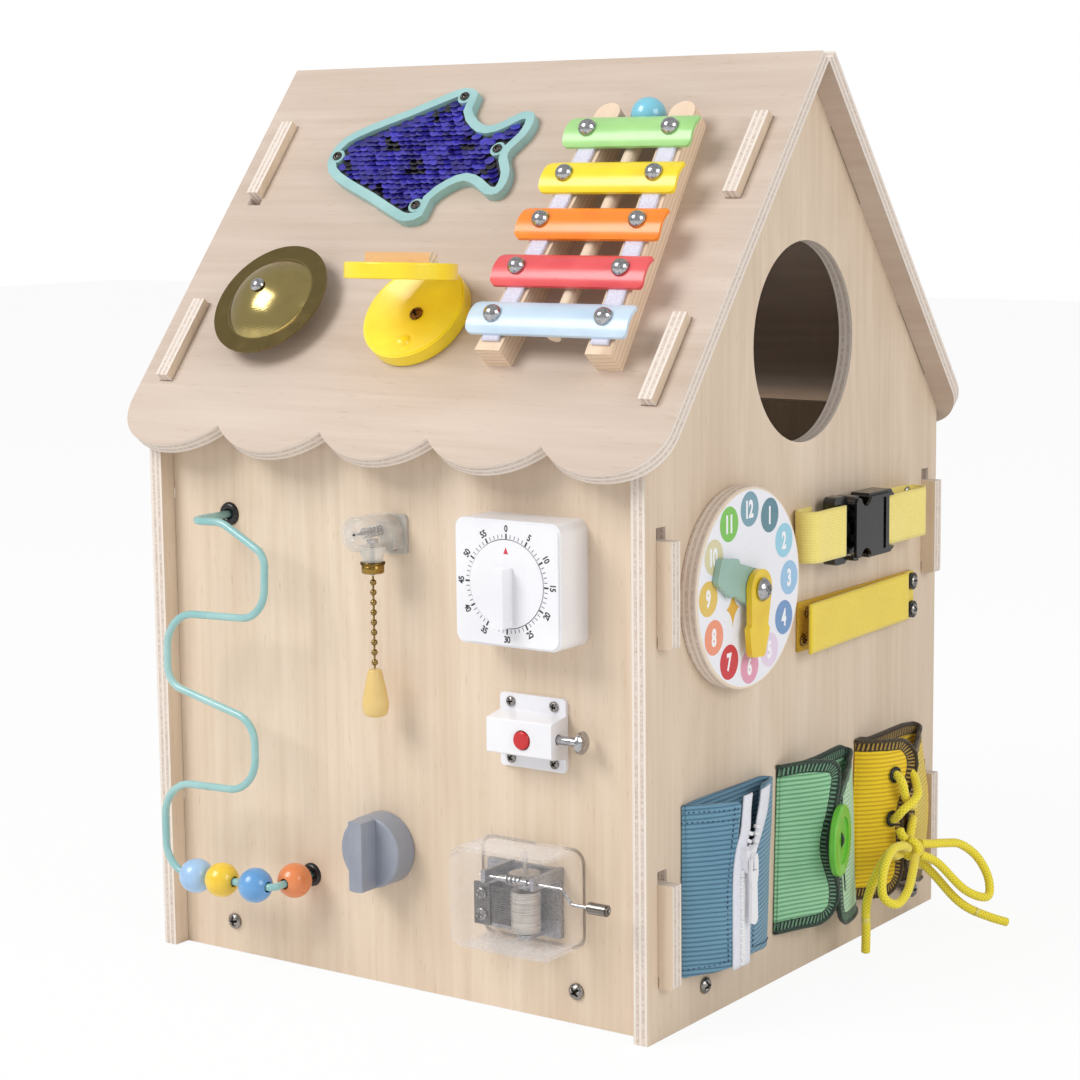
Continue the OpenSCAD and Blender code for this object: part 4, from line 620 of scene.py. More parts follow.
def clear(name, tint, least=0.1, roughness=0.05):
    """Clear moulding, thin enough not to bend the view: it shows at its edges and in glints."""
    plastic = Finish(name, tint, roughness, **{"IOR": 1.49, "Specular IOR Level": 0.6})
    facing = plastic.tree.nodes.new("ShaderNodeLayerWeight")
    facing.inputs["Blend"].default_value = 0.35
    haze = plastic.noise(plastic.place(), 240.0, 3.0)
    veil = plastic.sum("ADD", plastic.span(facing.outputs["Facing"], 0.35, 1.0, least, 0.85),
                       plastic.span(haze, 0.4, 0.8, 0.0, 0.06))
    plastic.give(plastic.shader, {"Alpha": veil})
    plastic.relief(haze, 0.00003, 0.3)
    return plastic


def rounded_plate(name, seat, size, low, top, finish, node):
    """Flat moulding, (wide, high) in mm, with rounded corners and a small round on its edge."""
    points, faces, loops = [], [], []
    radius, bevel, steps = 2, 0.4, 9
    for inset, z in ((0, low), (0, top - bevel), (bevel * 0.3, top - bevel * 0.3), (bevel, top)):
        loop = []
        for cx, cy, start in ((1, 1, 0), (-1, 1, 90), (-1, -1, 180), (1, -1, 270)):
            for k in range(steps):
                turn = math.radians(start + 90 * k / (steps - 1))
                x = cx * (size[0] / 2 - radius) + (radius - inset) * math.cos(turn)
                y = cy * (size[1] / 2 - radius) + (radius - inset) * math.sin(turn)
                loop.append(len(points))
                points.append(point_on(seat, x, y, z))
        loops.append(loop)
    round_count = len(loops[0])
    for lower, upper in zip(loops, loops[1:]):
        for k in range(round_count):
            after = (k + 1) % round_count
            faces.append((lower[k], lower[after], upper[after], upper[k]))
    faces.append(tuple(loops[-1]))
    faces.append(tuple(reversed(loops[0])))
    new_piece(name, points, faces, finish, "house", node, smooth=False)


# Drum and what it holds, on the drum's axis, which points out of the panel
switch_x, switch_z, chain_out = -0.5, 229.5, 16
switch = on_front(switch_x, switch_z)
drum_clear = clear("clear_drum_plastic", paint(236, 232, 226), 0.16)
plate_white = clear("clear_white_plastic", paint(232, 228, 220), 0.55, 0.2)
spring_steel = plated("spring_steel", paint(196, 196, 200), paint(130, 130, 136), 0.18)
revolved("switch_drum", switch, [
    (8.5, 2), (8.5, 28.9), (8.2, 29.6), (7.4, 30), (0.9, 30), (0.9, 28.8), (7.0, 28.8),
    (7.3, 28.4), (7.3, 3), (5, 2.6), (5, 2)], drum_clear, "switch_case")
revolved("switch_spindle", switch, [
    (0, 2), (1.6, 2), (1.6, 8), (0.9, 8.2), (0.9, 24), (0.6, 25), (0.6, 29.8), (0, 31.2)],
    spring_steel, "switch_case", 24)
revolved("switch_ratchet", switch, [
    (1.7, 3.4), (5.6, 3.4), (5.6, 6.6), (4.2, 7.4), (1.7, 7.4)], plate_white,
    "switch_case", 48, closed=True, ripple=lambda i, k: 1 - 0.09 * (k % 6 > 2) if i in (1, 2) else 1)
coil_turns, coil_r, coil_foot, coil_tall = 6, 2.3, 8, 15
coil = []
for i in range(24 * coil_turns + 1):
    share = i / (24 * coil_turns)
    turn = 2 * math.pi * coil_turns * share
    coil.append(point_on(switch, coil_r * math.cos(turn), coil_r * math.sin(turn),
                         coil_foot + coil_tall * share))
points, faces, lay = tube_mesh(coil, 0.00038, 8)
new_piece("switch_spring", points, faces, spring_steel, "house", "switch_case")

# Screw plate, the ear that joins it to the drum, and the throat and collar where the chain leaves
plate_x, plate_z, plate_t = 2.1, 226.8, 2
rounded_plate("switch_plate", on_front(plate_x, plate_z), (14, 19.5), 0, plate_t, plate_white,
              "switch_case")
rounded_plate("switch_ear", on_front(2.8, 226), (9, 12), plate_t, 9, plate_white,
              "switch_case")
chain_exit = Matrix.Translation((switch_x / 1000, -front_face - chain_out / 1000, 0))
revolved("switch_throat", chain_exit, [(6.6, 222.5), (6.4, 220), (5.2, 217), (4.8, 214.8)],
         plate_white, "switch_case")
brass_bright = plated("bright_brass", paint(206, 172, 92), paint(158, 118, 48), 0.2)
revolved("switch_collar", chain_exit, [
    (1.5, 209.5), (5.1, 209.5), (5.5, 209.9), (5.5, 213.2), (5.3, 213.4), (5.9, 213.6), (6, 214.9),
    (5.5, 215), (1.5, 215)], brass_bright, "switch_case", 96,
    ripple=lambda i, k: 1 - 0.045 * (k % 2) if i in (5, 6) else 1)
brassy.coat(parts["pull_chain"])
spring_steel.coat(parts["switch_plunger"])
enamel("pull_lacquer", paint(232, 203, 134), paint(219, 184, 108), 0.4, 0.25).coat(
    parts["pull_drop"])
screw_heads("switch_screws", [
    (on_front(plate_x, plate_z + z, plate_t), 4, 20 * z) for z in (-6, 6)], bronze)


# ---- Timer ----
# Clockwork kitchen timer in a white ABS case. Its scale and its numbers are pad-printed, and the
# dial is a separate moulding with a grip ridge and a printed red pointer.
timer_x, timer_z, timer_top, number_r = 83.3, 212, 23, 25.8
white_plastic = moulded("white_plastic", paint(238, 238, 241), paint(230, 230, 235), 0.3)
white_plastic.coat(parts["timer_case"], parts["timer_dial"])


def printed(name, marks, finish, body):
    """Flat ink shapes: each mark is a ring of points in the model's frame."""
    points, faces = [], []
    for ring in marks:
        start = len(points)
        points.extend(ring)
        faces.append(tuple(range(start, start + len(ring))))
    new_piece(name, points, faces, finish, body, smooth=False)


def ink(name, colour, shade):
    """Pad-printed ink: matt, with the slight mottle of the pad."""
    film = Finish(name, colour, 0.55)
    mottle = film.noise(film.place(), 1500.0, 3.0)
    film.shade(film.span(mottle, 0.35, 0.8), colour, shade)
    return film


def numerals(name, numbers, finish, weight):
    """Printed numbers: (text, seat of its middle, height of the digits in mm, width factor)."""
    points, faces = [], []
    for text, seat, height, narrow in numbers:
        curve = bpy.data.curves.new(name + "_" + text, "FONT")
        curve.body = text
        curve.align_x = "CENTER"
        curve.align_y = "CENTER"
        curve.offset = weight
        curve.space_character = 0.92
        curve.resolution_u = 5
        source = bpy.data.objects.new(curve.name, curve)
        bpy.context.scene.collection.objects.link(source)
        bpy.context.view_layer.update()
        flat = bpy.data.meshes.new_from_object(source)
        across = sorted(v.co.x for v in flat.vertices)
        upward = sorted(v.co.y for v in flat.vertices)
        centre, middle = (across[0] + across[-1]) / 2, (upward[0] + upward[-1]) / 2
        size = height / (upward[-1] - upward[0])
        start = len(points)
        for v in flat.vertices:
            points.append(point_on(seat, (v.co.x - centre) * size * narrow,
                                   (v.co.y - middle) * size))
        for face in flat.polygons:
            faces.append(tuple(start + i for i in face.vertices))
        bpy.data.objects.remove(source)
        bpy.data.curves.remove(curve)
        bpy.data.meshes.remove(flat)
    new_piece(name, points, faces, finish, "house", smooth=False)


black_ink_and_shade = ink("black_ink_and_shade", paint(28, 28, 34), paint(60, 60, 68))
grey_ink = ink("grey_ink", paint(96, 96, 106), paint(140, 140, 150))
bold_ticks, thin_ticks, timer_numbers = [], [], []
timer_face = on_front(timer_x, timer_z, timer_top + 0.05)
for minute in range(60):
    bold = minute % 5 == 0
    half, inner, outer = (0.42, 21.0, 23.4) if bold else (0.2, 21.2, 23.0)
    spin = timer_face @ Matrix.Rotation(math.radians(-6 * minute), 4, "Z")
    ring = [point_on(spin, x, y)
            for x, y in ((-half, inner), (half, inner), (half, outer), (-half, outer))]
    if bold:
        upright = Matrix.Rotation(math.pi if 15 < minute < 45 else 0, 4, "Z")
        seat = spin @ Matrix.Translation((0, number_r / 1000, 0)) @ upright
        bold_ticks.append(ring)
        timer_numbers.append((str(minute), seat, 3.3, 0.86))
    else:
        thin_ticks.append(ring)
printed("timer_ticks_bold", bold_ticks, black_ink_and_shade, "house")
printed("timer_ticks_thin", thin_ticks, grey_ink, "house")
numerals("timer_numbers", timer_numbers, black_ink_and_shade, 0.03)
red_ink = ink("red_ink", paint(202, 40, 66), paint(214, 80, 100))
dial_face = on_front(timer_x, timer_z, timer_top + 0.45)
printed("timer_pointer", [[point_on(dial_face, x, y) for x, y in
                           ((-1.35, 14), (1.35, 14), (0, 17.2))]], red_ink, "dial")


# ---- Push latch ----
# A white moulded case, held by a screw at each corner. Its red button frees a sprung steel bolt
# with a mushroom head.
white_plastic.coat(parts["latch_case"])
moulded("red_plastic", paint(206, 22, 26), paint(186, 14, 20), 0.25, 0.2,
        **{"Coat Weight": 0.3}).coat(parts["latch_button"])
chrome = plated("bolt_chrome", paint(208, 208, 210), paint(150, 150, 154), 0.12)
chrome.coat(parts["latch_bolt"])
latch_x, latch_z, latch_flange = 82.3, 138.6, 2
holes_x, holes_z = 12.35, 13.6
screw_heads("latch_screws", [
    (on_front(latch_x + x * holes_x, latch_z + z * holes_z, latch_flange), 5,
     25 + 35 * x + 20 * z)
    for x in (-1, 1) for z in (-1, 1)], nickel)


# ---- Turn knob ----
# A turned beech disc with a grip bar glued across it, lacquered in grey blue. It turns on a pin
# through the panel.
enamel("knob_lacquer", paint(152, 158, 170), paint(136, 142, 156), 0.42, 0.3,
       **{"Coat Weight": 0.15}).coat(parts["turn_knob"])


# ---- Music box ----
# Hand-cranked eighteen-note movement in a clear polystyrene case: a steel comb on a cast bed,
# plucked by the pins of a cylinder that the crank turns through a worm.
music_clear = clear("clear_case_plastic", paint(240, 238, 240), 0.05, 0.04)
music_clear.coat(parts["music_case"])


def worked(name, light, dark, roughness, lines, metallic):
    """Ground or turned metal: lines is the scale of its tool marks on each axis."""
    metal = Finish(name, light, roughness, **{"Metallic": metallic})
    marks = metal.noise(metal.place(scale=lines), 1.0, 3.0)
    stain = metal.noise(metal.place(), 160.0, 3.0)
    tone = metal.mix(metal.span(marks, 0.3, 0.7), dark, light)
    metal.shade(metal.span(stain, 0.5, 0.8, 0.0, 0.35), tone, dark)
    metal.gloss(stain, 0.3, 0.7, roughness, roughness + 0.15)
    metal.relief(marks, 0.00003, 0.5)
    return metal


for part, light, dark, roughness, lines, metallic in (
    ("music_bedplate", paint(186, 186, 190), paint(138, 138, 144), 0.35, (900, 900, 900), 0.8),
    ("music_comb", paint(116, 112, 112), paint(84, 82, 84), 0.42, (120, 120, 2200), 0.6),
    ("music_cylinder", paint(214, 208, 200), paint(160, 154, 148), 0.38, (60, 60, 2600), 0.75),
    ("crank_grip", paint(170, 166, 160), paint(96, 90, 84), 0.16, (1, 900, 900), 1.0),
):
    worked(part + "_metal", light, dark, roughness, lines, metallic).coat(parts[part])
chrome.coat(parts["music_crank"])
comb_x, comb_z, comb_top = 60, 55.4, 14.2
screw_heads("comb_screws", [
    (on_front(comb_x, comb_z + z, comb_top), 6.4, 30 + 25 * z) for z in (-5, 5)], nickel)


# ---- Clock ----
# A plywood disc printed white, with twelve numbered spots, and two hands sawn from board and
# lacquered. A pin with a dark star recess in its head carries both hands.
clock_y, clock_z, clock_top = -68, 204, 9
print_r, spots_r, spot_r = 46.7, 37.5, 8.3
plywood("clock_ply", (0, 0, 1), (1, 0, 0), (wall_face + clock_top) / 1000, paint(240, 224, 202),
        paint(224, 202, 172)).coat(parts["clock_disc"])
clock_face = on_side(clock_y, clock_z, clock_top)


def round_mark(seat, x, y, radius, height, sides=64):
    """Ring of points round x, y in mm on a face."""
    turns = [2 * math.pi * k / sides for k in range(sides)]
    return [point_on(seat, x + radius * math.cos(turn), y + radius * math.sin(turn), height)
            for turn in turns]


printed("clock_print", [round_mark(clock_face, 0, 0, print_r, 0.04, 144)],
        ink("clock_white_ink", paint(238, 238, 244), paint(230, 231, 239)), "house")
spot_colours = [
    (118, 157, 172), (92, 132, 146), (150, 204, 224), (152, 192, 224), (112, 148, 194),
    (226, 208, 228), (222, 152, 176), (202, 52, 58), (236, 148, 118), (224, 190, 96),
    (214, 206, 164), (122, 192, 86),
]
clock_numbers = []
for hour, colour in enumerate(spot_colours):
    angle = math.radians(30 * hour)
    x, y = spots_r * math.sin(angle), spots_r * math.cos(angle)
    spot_ink = ink("clock_spot_ink_" + str(hour), paint(*colour),
                   paint(*[c + (255 - c) * 0.12 for c in colour]))
    printed("clock_spot_" + str(hour), [round_mark(clock_face, x, y, spot_r, 0.08)], spot_ink,
            "house")
    middle = clock_face @ Matrix.Translation((x / 1000, y / 1000, 0.00012))
    clock_numbers.append((str(hour or 12), middle, 8.7, 0.74))
numerals("clock_numbers", clock_numbers,
         ink("number_white_ink", paint(246, 246, 248), paint(234, 236, 242)), 0.045)


def signed_power(value, power):
    return math.copysign(abs(value) ** power, value)


gold_stars = []
for x, y, wide, tall in ((-15.5, -7.5, 6.4, 9.4), (-1.6, -19.1, 3.0, 5.2)):
    turns = [2 * math.pi * k / 96 for k in range(96)]
    gold_stars.append([point_on(clock_face, x + wide * signed_power(math.cos(turn), 3.2),
                                y + tall * signed_power(math.sin(turn), 3.2), 0.08)
                       for turn in turns])
printed("clock_stars", gold_stars, ink("gold_ink", paint(220, 170, 62), paint(232, 190, 92)),
        "house")
enamel("hand_yellow", paint(240, 208, 44), paint(226, 188, 28), 0.4, 0.25).coat(parts["hour_hand"])
enamel("hand_teal", paint(156, 190, 178), paint(140, 174, 160), 0.4, 0.25).coat(
    parts["minute_hand"])
chrome.coat(parts["pivot_pins"])

# Painted shade for the star recess: a black star laid on the domed head of the pin wherever that head
# stands
axle = on_side(clock_y, clock_z).inverted()
near = [axle @ v.co for v in parts["pivot_pins"].data.vertices]
head = max(v.z for v in near if math.hypot(v.x, v.y) < 0.008)
head_face = on_side(clock_y, clock_z, head * 1000 + 0.05)
points, faces = [head_face.translation], []
for k in range(60):
    turn = 2 * math.pi * k / 60
    r = 2.0 + 0.55 * math.cos(6 * turn)
    points.append(point_on(head_face, r * math.cos(turn), r * math.sin(turn), -r * r / 12.6))
    faces.append((0, 1 + k, 1 + (k + 1) % 60))
new_piece("clock_pin_recess_shade", points, faces, black_ink_and_shade, "house")


# ---- Webbing and buckle ----
# Two loops of 25 mm polypropylene webbing, folded back on themselves and screwed to the wall,
# and a black acetal side-release buckle between them.
def woven(name, light, dark, cross, down, roughness=0.8, sheen=0.3, depth=0.00025):
    """Woven or knitted band: threads cross at the given pitches, in metres along the lay."""
    cloth = Finish(name, light, roughness, **{"Sheen Weight": sheen})
    at = cloth.place(source="UV")
    along, up = cloth.part(at, 0), cloth.part(at, 1)
    uneven = cloth.noise(cloth.place(), 420.0, 2.0)
    warp = cloth.sum("PINGPONG", cloth.sum("DIVIDE", along, cross), 0.5)
    weft = cloth.sum("PINGPONG", cloth.sum("DIVIDE", up, down), 0.5)
    height = cloth.sum("ADD", cloth.sum("MULTIPLY", warp, 0.8), weft)
    height = cloth.sum("ADD", height, cloth.sum("MULTIPLY", uneven, 0.5))
    slow = cloth.noise(cloth.place(), 38.0, 3.0)
    # Painted shade: the hollows between threads are darker, from the same height as the bump, over a slow
    # random tone.
    shade = cloth.sum("ADD", cloth.sum("MULTIPLY", height, 0.7), cloth.sum("MULTIPLY", slow, 0.5))
    cloth.shade(cloth.span(shade, 0.45, 1.05), dark, light)
    cloth.relief(height, depth, 0.7)
    return cloth


def thicken(piece, thick, offset=0):
    """Gives a thin piece its thickness in mm, on both sides or, at -1, behind its face."""
    shell = piece.modifiers.new("thickness", "SOLIDIFY")
    shell.thickness = thick / 1000
    shell.offset = offset


def band(name, path, middle, wide, thick, finish, body, node, across=10):
    """Band with its width upright round the height middle; path is its (along, out) in mm."""
    run = [0.0]
    for (a, b), (c, d) in zip(path, path[1:]):
        run.append(run[-1] + math.hypot(c - a, d - b))
    points, lay, faces = [], [], []
    for (along, out), far in zip(path, run):
        for k in range(across + 1):
            up = wide * (k / across - 0.5)
            points.append(on_wall(along, middle + up, out))
            lay.append((far / 1000, up / 1000))
    for i in range(len(path) - 1):
        for k in range(across):
            a = i * (across + 1) + k
            faces.append((a, a + 1, a + across + 2, a + across + 1))
    piece = new_piece(name, points, faces, finish, body, node, uvs=lay)
    thicken(piece, thick)
    return piece, run[-1] / 1000


def strap_path(fold, side, front, back):
    """Path of a strap from its back layer round the fold at the given side to its front."""
    back_layer, fold_out, fold_r, sag = 0.8, 7, 6.25, 0.35
    centre = fold + side * fold_out
    path = [(back + (centre - back) * i / 12, back_layer) for i in range(12)]
    for i in range(17):
        turn = math.pi * i / 16
        path.append((centre - side * fold_r * math.sin(turn), fold_out - fold_r * math.cos(turn)))
    for i in range(1, 21):
        t = i / 20
        path.append((centre + (front - centre) * t,
                     fold_out + fold_r - sag * math.sin(math.pi * t)))
    return path


web_z, web_w, web_t = 221, 25.4, 1.35
webbing = woven("webbing_weave", paint(250, 234, 138), paint(236, 214, 112), 0.0009, 0.0013)
for name, fold, side, front, back in (("strap_front", -14, 1, 18.6, 6),
                                      ("strap_rear", 111, -1, 60.8, 84)):
    strap, long = band(name, strap_path(fold, side, front, back), web_z, web_w, web_t, webbing,
                       "house", "buckle_straps")
buckle_black = moulded("buckle_black", paint(24, 24, 26), paint(15, 15, 16), 0.26, 0.25,
                       **{"Coat Weight": 0.25})
buckle_black.coat(parts["buckle_socket"], parts["buckle_plug"])
screw_heads("strap_screws", [(on_side(107.8, 230.25, 1.5), 6, 15), (on_side(-3.8, 215, 1.5), 6, 50)],
            nickel)


# ---- Touch-and-close strip ----
# Hook tape screwed to the wall at both ends, and loop tape that is fixed only at its rear end
# and lies on it with its front end lifted.
strip_z, strip_w, strip_t = 175, 24.8, 1.35
hook_front, hook_rear, loop_front, flap_root, flap_end = -7.6, 114, 104.7, 104, -9
hook_out, loop_out, flap_out, flap_lift = 0.78, 2.28, 4.15, 4.6
tape = woven("loop_tape", paint(250, 224, 62), paint(236, 204, 44), 0.0007, 0.0009, 0.9, 0.5, 0.0003)
hook_tape = woven("hook_tape", paint(222, 182, 44), paint(196, 152, 26), 0.0013, 0.0013, 0.7, 0.1,
                  0.0005)
lower, lower_len = band("hook_tape_fixed", [
    (hook_front + (hook_rear - hook_front) * i / 30, hook_out) for i in range(31)], strip_z, strip_w,
    strip_t, hook_tape, "house", "hook_strip")
upper = band("loop_tape_fixed", [
    (loop_front + (hook_rear - loop_front) * i / 8, loop_out) for i in range(9)], strip_z, strip_w,
    strip_t, tape, "house", "hook_strip")[0]
flap_path = [(flap_root + 0.9, 4.1)]
for i in range(41):
    u = i / 40
    flap_path.append((flap_root + (flap_end - flap_root) * u, flap_out + flap_lift * u ** 1.4))
flap, flap_len = band("loop_tape_free", flap_path, strip_z, strip_w, strip_t, tape, "flap",
                      "loop_flap", 12)
screw_heads("strip_screws_front", [(on_side(-3.3, 168.2, 1.5), 6, 30), (on_side(1.7, 181.5, 1.5), 6, 10)],
            brassy)
washer_along, washer_seat, washer_t = 111, 3, 1.3
rear_screws = []
for up, turned in ((167.2, 25), (182.3, 70)):
    revolved("strip_washer_" + str(int(up)), on_side(washer_along, up, washer_seat), [
        (0, 0), (4.4, 0), (4.4, 0.6), (3.4, washer_t), (0, washer_t)], black_plastic,
        sides=48)
    rear_screws.append((on_side(washer_along, up, washer_seat + washer_t), 6, turned))
screw_heads("strip_screws_rear", rear_screws, nickel)


# ---- Zip cloth ----
# Blue ribbed knit, hemmed with a lockstitch, bent round into a flat tube and sewn down along the
# wall. A zip of two woven polyester tapes with moulded teeth joins its free edges.
def at_share(pairs, share):
    """Value at a share of the way along (share, value) pairs, eased between them."""
    for (a, low), (b, high) in zip(pairs, pairs[1:]):
        if share <= b:
            t = (share - a) / (b - a)
            return low + (high - low) * t * t * (3 - 2 * t)
    return pairs[-1][1]


def even_line(line, count):
    """The line given as count + 1 points at equal distances."""
    run = [0.0]
    for a, b in zip(line, line[1:]):
        run.append(run[-1] + (b - a).length)
    spaced, k = [], 0
    for i in range(count + 1):
        want = run[-1] * i / count
        while k < len(run) - 2 and run[k + 1] < want:
            k += 1
        spaced.append(line[k].lerp(line[k + 1], (want - run[k]) / (run[k + 1] - run[k])))
    return spaced, run[-1]


class Cloth:
    """Cloth whose upright threads stand on plan lines at several heights, foot first.
    Each plan line is a list of (along, out) in mm, from one free edge to the other."""

    columns, rows, thick = 150, 56, 1.8

    def __init__(self, plans, top, foot, corner):
        stretches = []
        for height, plan in plans:
            line = smooth_line([Vector((a, o, height)) for a, o in plan], 10)
            front = 10 * min(i for i, (a, o) in enumerate(plan) if o < 2)
            rear = 10 * max(i for i, (a, o) in enumerate(plan) if o < 1.2)
            stretches.append((line[:front + 1], line[front:rear + 1], line[rear:]))
        mean = [sum(length_of(s[i]) for s in stretches) / len(stretches) for i in range(3)]
        self.wide = sum(mean)
        ends = [round(self.columns * sum(mean[:i]) / self.wide) for i in range(4)]
        evened = []
        for runs in stretches:
            line = []
            for i in range(3):
                line = line[:-1] + even_line(runs[i], ends[i + 1] - ends[i])[0]
            evened.append(line)
        self.threads = [smooth_line(list(knots), 8) for knots in zip(*evened)]
        self.top, self.foot, self.corner = top, foot, corner

    def ends(self, share):
        """Height of the foot and of the top at a share of the width."""
        near = min(share, 1 - share) * self.wide
        cut = 0.0
        if near < self.corner:
            cut = self.corner - math.sqrt(self.corner ** 2 - (self.corner - near) ** 2)
        return at_share(self.foot, share) + cut, at_share(self.top, share) - cut

    def at(self, share, height):
        """Point on the outer face, in the model's frame."""
        place = min(max(share, 0), 1) * self.columns
        j = min(int(place), self.columns - 1)
        spots = []
        for thread in (self.threads[j], self.threads[j + 1]):
            k = 0
            while k < len(thread) - 2 and thread[k + 1].z < height:
                k += 1
            a, b = thread[k], thread[k + 1]
            spots.append(a.lerp(b, min(1.2, max(-0.5, (height - a.z) / (b.z - a.z)))))
        spot = spots[0].lerp(spots[1], place - j)
        return on_wall(spot.x, height, spot.y)

    def outward(self, share, height):
        across = self.at(share + 0.01, height) - self.at(share - 0.01, height)
        upward = self.at(share, height + 2) - self.at(share, height - 2)
        return upward.cross(across).normalized()

    def piece(self, name, finish, slot, node):
        points, lay, faces = [], [], []
        for j in range(self.columns + 1):
            share = j / self.columns
            low, high = self.ends(share)
            for i in range(self.rows + 1):
                height = low + (high - low) * i / self.rows
                points.append(self.at(share, height))
                lay.append((share * self.wide / 1000, height / 1000))
        n = self.rows + 1
        for j in range(self.columns):
            for i in range(self.rows):
                a = j * n + i
                faces.append((a, a + 1, a + n + 1, a + n))
        made = new_piece(name, points, faces, finish, "house", node, uvs=lay)
        rim = [j * n for j in range(self.columns + 1)]
        rim += [self.columns * n + i for i in range(1, n)]
        rim += [j * n + n - 1 for j in range(self.columns - 1, -1, -1)]
        rim += [i for i in range(n - 2, -1, -1)]
        rim = rim[self.columns // 2:] + rim[:self.columns // 2]
        self.rim = [points[i] for i in rim]
        self.near_rim(made, lay, [Vector((*lay[i], 0)) for i in rim])
        thicken(made, self.thick, -1)
        return made

    def near_rim(self, made, lay, rim):
        """Second layer: distance from the cut edge, and the way along that edge."""
        fine, total = even_line(rim, 2400)
        tree = kdtree.KDTree(len(fine))
        for i, spot in enumerate(fine):
            tree.insert(spot, i)
        tree.balance()
        near = [tree.find((x, y, 0)) for x, y in lay]
        layer = made.data.uv_layers.new(name="hem")
        for loop in made.data.loops:
            spot, index, away = near[loop.vertex_index]
            layer.data[loop.index].uv = (away, total * index / len(fine))


rib_pitch, hem = 0.00225, 0.0056


def ribbed(name, light, dark, thread=None, under=None, pale=None):
    """Ribbed knit, with thread overlocked over its cut edge where a thread colour is given.
    pale: how far across the cloth its paler end starts, and its two colours: painted light on that wing."""
    knit = Finish(name, light, 0.85, **{"Sheen Weight": 0.25})
    at = knit.place(source="UV")
    wander = knit.noise(at, 55.0, 2.0)
    rib = knit.sum("ADD", knit.sum("DIVIDE", knit.part(at, 1), rib_pitch),
                   knit.sum("MULTIPLY", wander, 0.35))
    groove = knit.span(knit.sum("PINGPONG", rib, 0.5), 0.0, 0.3)
    loops = knit.grain(at, (1300, 900, 1))
    slow = knit.noise(knit.place(), 30.0, 3.0)
    # Painted shade: the grooves between the ribs are darker, from the same rib shape that makes the bump.
    tone = knit.sum("ADD", knit.sum("MULTIPLY", groove, 0.75), knit.sum("MULTIPLY", loops, 0.25))
    tone = knit.sum("ADD", tone, knit.sum("MULTIPLY", knit.sum("SUBTRACT", slow, 0.5), 0.5))
    tone = knit.span(tone, 0.1, 1.0)
    shade = knit.mix(tone, dark, light)
    # Painted light: past that point the cloth takes paler colours, for the wing that turns to the light.
    if pale:
        far = knit.span(knit.part(at, 0), pale[0] - 0.006, pale[0] + 0.006)
        shade = knit.mix(far, shade, knit.mix(tone, pale[2], pale[1]))
    height = knit.sum("ADD", groove, knit.sum("MULTIPLY", loops, 0.25))
    if thread:
        edge = knit.tree.nodes.new("ShaderNodeUVMap")
        edge.uv_map = "hem"
        away, along = knit.part(edge.outputs[0], 0), knit.part(edge.outputs[0], 1)
        fray = knit.sum("MULTIPLY", knit.noise(at, 420.0, 2.0), 0.0009)
        inside = knit.span(knit.sum("ADD", away, fray), hem, hem + 0.0005, 1.0, 0.0)
        turns = knit.sum("ADD", knit.sum("DIVIDE", along, 0.0021), knit.sum("DIVIDE", away, 0.011))
        turns = knit.sum("ADD", turns, knit.sum("MULTIPLY", loops, 0.25))
        strand = knit.span(knit.sum("PINGPONG", turns, 0.5), 0.17, 0.26, 0.0, 1.0)
        border = knit.span(away, 0.0008, 0.0014, 1.0, 0.0)
        chain = knit.span(knit.sum("ABSOLUTE", knit.sum("SUBTRACT", away, hem - 0.0004)),
                          0.0003, 0.0006, 1.0, 0.0)
        strand = knit.sum("MAXIMUM", strand, knit.sum("MAXIMUM", border, chain))
        shade = knit.mix(inside, shade, knit.mix(strand, under, thread))
        height = knit.sum("MULTIPLY_ADD", inside, knit.sum("SUBTRACT", strand, height), height)
    knit.give(knit.shader, {"Base Color": shade})
    knit.relief(height, 0.0005, 0.75)
    return knit


def add_tube(points, faces, line, radius, sides):
    """Adds one more tube to the points and faces of a piece."""
    more, rings, lay = tube_mesh(line, radius, sides)
    faces += [tuple(len(points) + v for v in face) for face in rings]
    points += more


def stitches(name, cloth, spots, finish, node, step=2.6):
    """Lockstitch: a dash of thread every step mm on the way through (share, height) spots."""
    thread_r, dash = 0.00036, step * 0.72
    points, faces = [], []
    way = 0.0
    for spot, after in zip(spots, spots[1:]):
        a, b, out = cloth.at(*spot), cloth.at(*after), cloth.outward(*spot)
        long = (b - a).length * 1000
        while way < long:
            start, end = way / long, min(1.0, (way + dash) / long)
            bow = [a.lerp(b, start + (end - start) * k / 3)
                   + out * (0.00005 + 0.00022 * math.sin(math.pi * k / 3)) for k in range(4)]
            add_tube(points, faces, bow, thread_r, 6)
            way += step
        way -= long
    return new_piece(name, points, faces, finish, "house", node)


def along_edge(cloth, start, end, down, from_top=True):
    """Spots on a cloth at a fixed distance from its upper or lower edge."""
    spots = []
    for i in range(61):
        share = start + (end - start) * i / 60
        low, high = cloth.ends(share)
        spots.append((share, high - down if from_top else low + down))
    return spots


